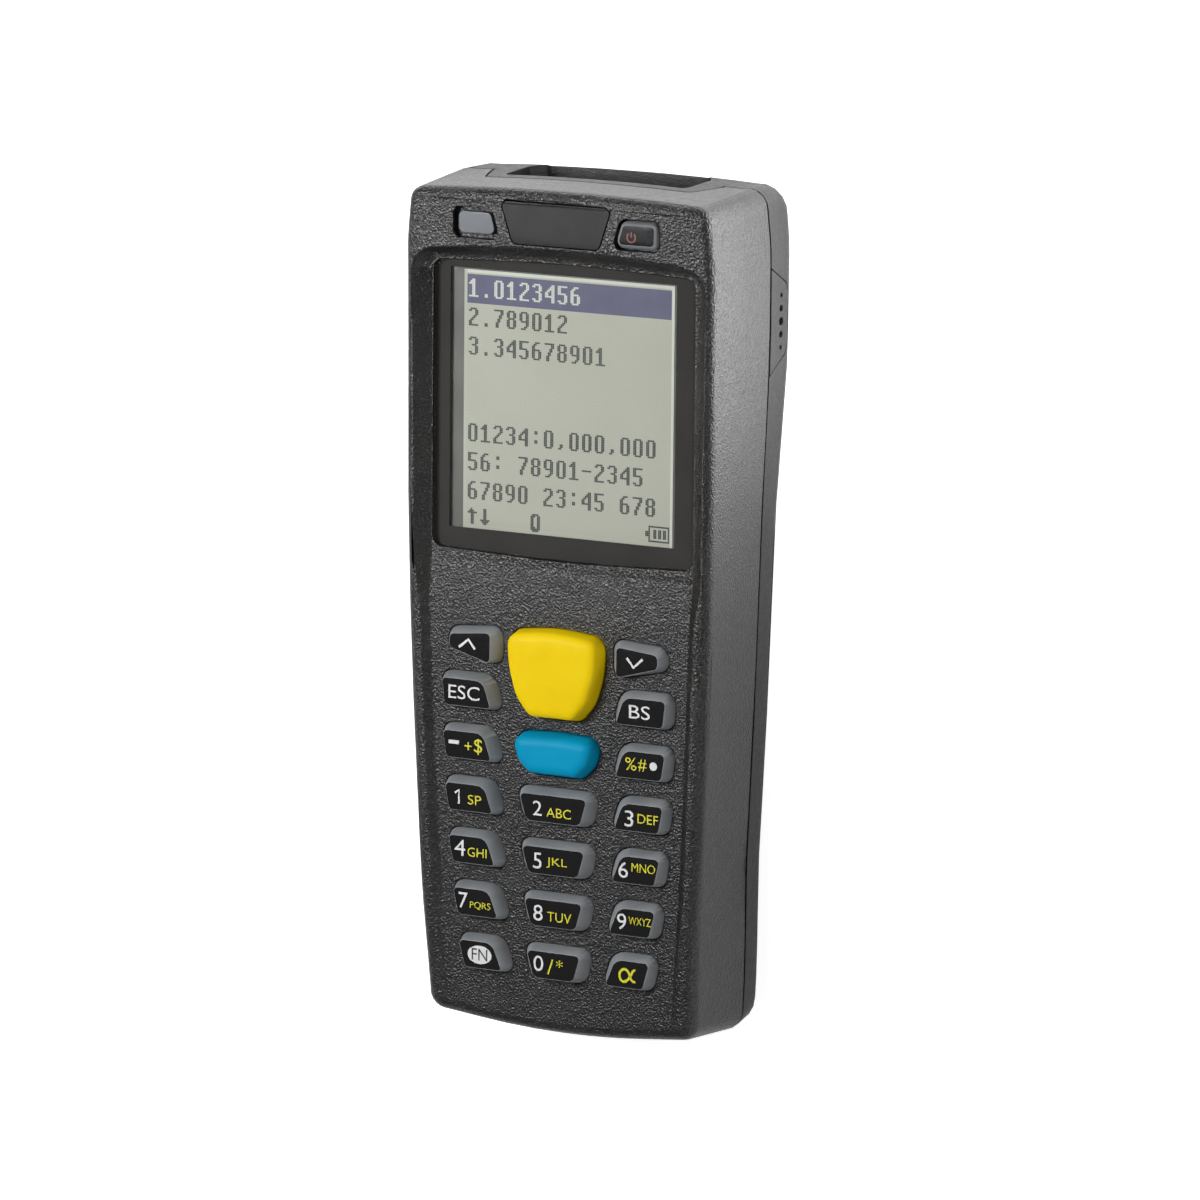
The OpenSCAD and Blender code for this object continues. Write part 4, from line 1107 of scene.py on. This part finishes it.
# %% Inner finishes
inner = {
    # its edge shows beside the display's field, with painted shade in its grey
    "lcd_panel": LCD_EDGE_SHADE,
    "lcd_frame": finish("frame_white", (0.60, 0.60, 0.57), (0.66, 0.66, 0.63), (0.45, 0.55),
                        [(0.3, 0.005, 2, 0)]),
    "lcd_ribbon": finish("amber_film", (0.42, 0.17, 0.02), (0.50, 0.21, 0.03), (0.25, 0.35),
                         [(1.5, 0.01, 1, 0)], blotch_mm=3),
    "main_board": finish("solder_mask", (0.006, 0.075, 0.030), (0.012, 0.110, 0.045),
                         (0.25, 0.40), [(0.8, 0.02, 4, 0.5)], blotch_mm=1.4),
    "processor_shield": TIN,
    "memory_chips": finish("epoxy", (0.012, 0.012, 0.013), (0.020, 0.020, 0.021), (0.5, 0.6),
                           [(0.15, 0.006, 3, 0)], blotch_mm=2),
    "keypad_web": KEY_RUBBER,
    "key_domes": SPRING_STEEL,
    "status_led": finish("led_body", (0.70, 0.69, 0.60), (0.78, 0.77, 0.69), (0.25, 0.35)),
    "scan_engine": finish("engine_black", (0.010, 0.010, 0.010), (0.016, 0.016, 0.016),
                          (0.45, 0.55), [(0.25, 0.008, 2, 0)]),
    "scan_lens": finish("optic_glass", (0.06, 0.10, 0.14), (0.08, 0.13, 0.18), (0.03, 0.06)),
    "scan_leds": finish("led_red", (0.50, 0.02, 0.015), (0.60, 0.03, 0.02), (0.12, 0.20)),
    "buzzer": finish("buzzer_black", (0.012, 0.012, 0.012), (0.018, 0.018, 0.018), (0.4, 0.5),
                     [(0.3, 0.006, 2, 0)]),
    "battery_pack": finish("shrink_wrap", (0.030, 0.060, 0.120), (0.040, 0.075, 0.145),
                           (0.22, 0.34), [(5, 0.08, 2, 0.4), (0.5, 0.004, 2, 0)], blotch_mm=12),
    "battery_contacts": GOLD,
    "coin_cell": SPRING_STEEL,
    "coin_cell_clip": TIN}
for name, material in inner.items():
    nodes[name].data.materials.clear()
    nodes[name].data.materials.append(material)
print("inner parts finished:", len(inner))

# %% [markdown]
# ## Floor
# The floor is plain and pale. More light would make it white but would bleach the object
# too, so the floor glows instead, and only to the camera and, half as much, to what mirrors
# it. Other light meets an ordinary pale floor, so the shadow stays. It lies a hair lower
# than the terminal's back, because two faces at one height would flicker.

# %% Floor
FLOOR_SIZE, FLOOR_DROP_MM = 3, 0.2      # half of its side in metres, and how far it lies lower
FLOOR_GREY, FLOOR_ROUGH = 0.8, 0.9
FLOOR_GLOW, MIRRORED_SHARE = 0.8, 0.5


def floor_material():
    material = bpy.data.materials.new("floor_white")
    material.use_nodes = True
    tree = material.node_tree
    shader = tree.nodes["Principled BSDF"]
    shader.inputs["Base Color"].default_value = (FLOOR_GREY, FLOOR_GREY, FLOOR_GREY, 1)
    shader.inputs["Roughness"].default_value = FLOOR_ROUGH
    rays = add_node(tree, "ShaderNodeLightPath")
    seen = add_node(tree, "ShaderNodeMath", operation="MULTIPLY_ADD")
    seen.inputs[1].default_value = MIRRORED_SHARE
    strength = add_node(tree, "ShaderNodeMath", operation="MULTIPLY")
    strength.inputs[1].default_value = FLOOR_GLOW
    glow = add_node(tree, "ShaderNodeEmission", Color=(1, 1, 1, 1))
    add = add_node(tree, "ShaderNodeAddShader")
    link(tree, rays.outputs["Is Glossy Ray"], seen.inputs[0])
    link(tree, rays.outputs["Is Camera Ray"], seen.inputs[2])
    link(tree, seen.outputs[0], strength.inputs[0])
    link(tree, strength.outputs[0], glow.inputs["Strength"])
    link(tree, shader.outputs[0], add.inputs[0])
    link(tree, glow.outputs[0], add.inputs[1])
    link(tree, add.outputs[0], tree.nodes["Material Output"].inputs["Surface"])
    return material


floor_form = bmesh.new()
bmesh.ops.create_grid(floor_form, x_segments=1, y_segments=1, size=FLOOR_SIZE)
bmesh.ops.translate(floor_form, verts=floor_form.verts, vec=mm(0, 0, -FLOOR_DROP_MM))
floor_mesh = bpy.data.meshes.new("floor")
floor_form.to_mesh(floor_mesh)
floor_form.free()
floor_mesh.materials.append(floor_material())
floor = bpy.data.objects.new("floor", floor_mesh)
bpy.context.scene.collection.objects.link(floor)
print("floor laid")

# %% [markdown]
# ## Lamps
# Dark plastic shows little but what it mirrors, so one bright lamp would leave it black with
# a single spot. Several soft boxes have one job each: the face box grazes the grain, the
# large dim wall gives the key caps their soft sheen, the ceiling fills the shadows and is
# not mirrored, two light the right walls of the body and of the keys, and two lie just
# above the floor and light it where the right side and the head mirror it.

# %% Lamps
def soft_box(name, place_mm, aim_mm, size_mm, watts, mirrored=True):
    """A lamp with a pale face. The camera never sees it, and gloss does only if mirrored."""
    data = bpy.data.lights.new(name, "AREA")
    data.energy = watts
    data.shape = "RECTANGLE"
    data.size, data.size_y = size_mm[0] * MM, size_mm[1] * MM
    lamp = bpy.data.objects.new(name, data)
    towards = mm(*aim_mm) - mm(*place_mm)
    lamp.matrix_world = (Matrix.Translation(mm(*place_mm))
                         @ towards.to_track_quat("-Z", "Y").to_matrix().to_4x4())
    bpy.context.scene.collection.objects.link(lamp)
    lamp.visible_camera = False
    lamp.visible_glossy = mirrored


soft_box("face_box", (-170, 100, 322), (-10, 30, 20), (130, 130), 0.95)
soft_box("left_wall", (-500, -100, 500), (0, 0, 20), (800, 800), 0.35)
soft_box("ceiling_box", (100, 300, 1300), (0, 0, 10), (600, 600), 1, mirrored=False)
soft_box("right_box", (150, 150, 40), (40, 60, 5), (80, 40), 0.10)
soft_box("key_wall_box", (250, -250, 220), (0, -10, 22), (200, 200), 0.3)
soft_box("floor_box_right", (75, 60, 14), (75, 60, 0), (60, 80), 0.16)
soft_box("floor_box_head", (-20, 115, 14), (-20, 115, 0), (100, 60), 0.05)
print("lamps:", len(bpy.data.lights))

# %% [markdown]
# ## The air behind
# Beyond the floor the camera would see a grey sky. Its light could be raised to white, but
# that would wash out the object, so Light Path tells the camera's rays from all others: to
# the camera the world is white, and everything else gets only a tenth of that.

# %% World
WORLD_LIGHT, MORE_TO_CAMERA = 0.1, 0.9
world = bpy.data.worlds.new("studio")
bpy.context.scene.world = world
world.use_nodes = True
background = world.node_tree.nodes["Background"]
background.inputs["Color"].default_value = (1, 1, 1, 1)
to_camera = add_node(world.node_tree, "ShaderNodeLightPath")
level = add_node(world.node_tree, "ShaderNodeMath", operation="MULTIPLY_ADD")
level.inputs[1].default_value = MORE_TO_CAMERA
level.inputs[2].default_value = WORLD_LIGHT
link(world.node_tree, to_camera.outputs["Is Camera Ray"], level.inputs[0])
link(world.node_tree, level.outputs[0], background.inputs["Strength"])
bpy.context.scene.view_settings.view_transform = "Standard"
print("world ready")
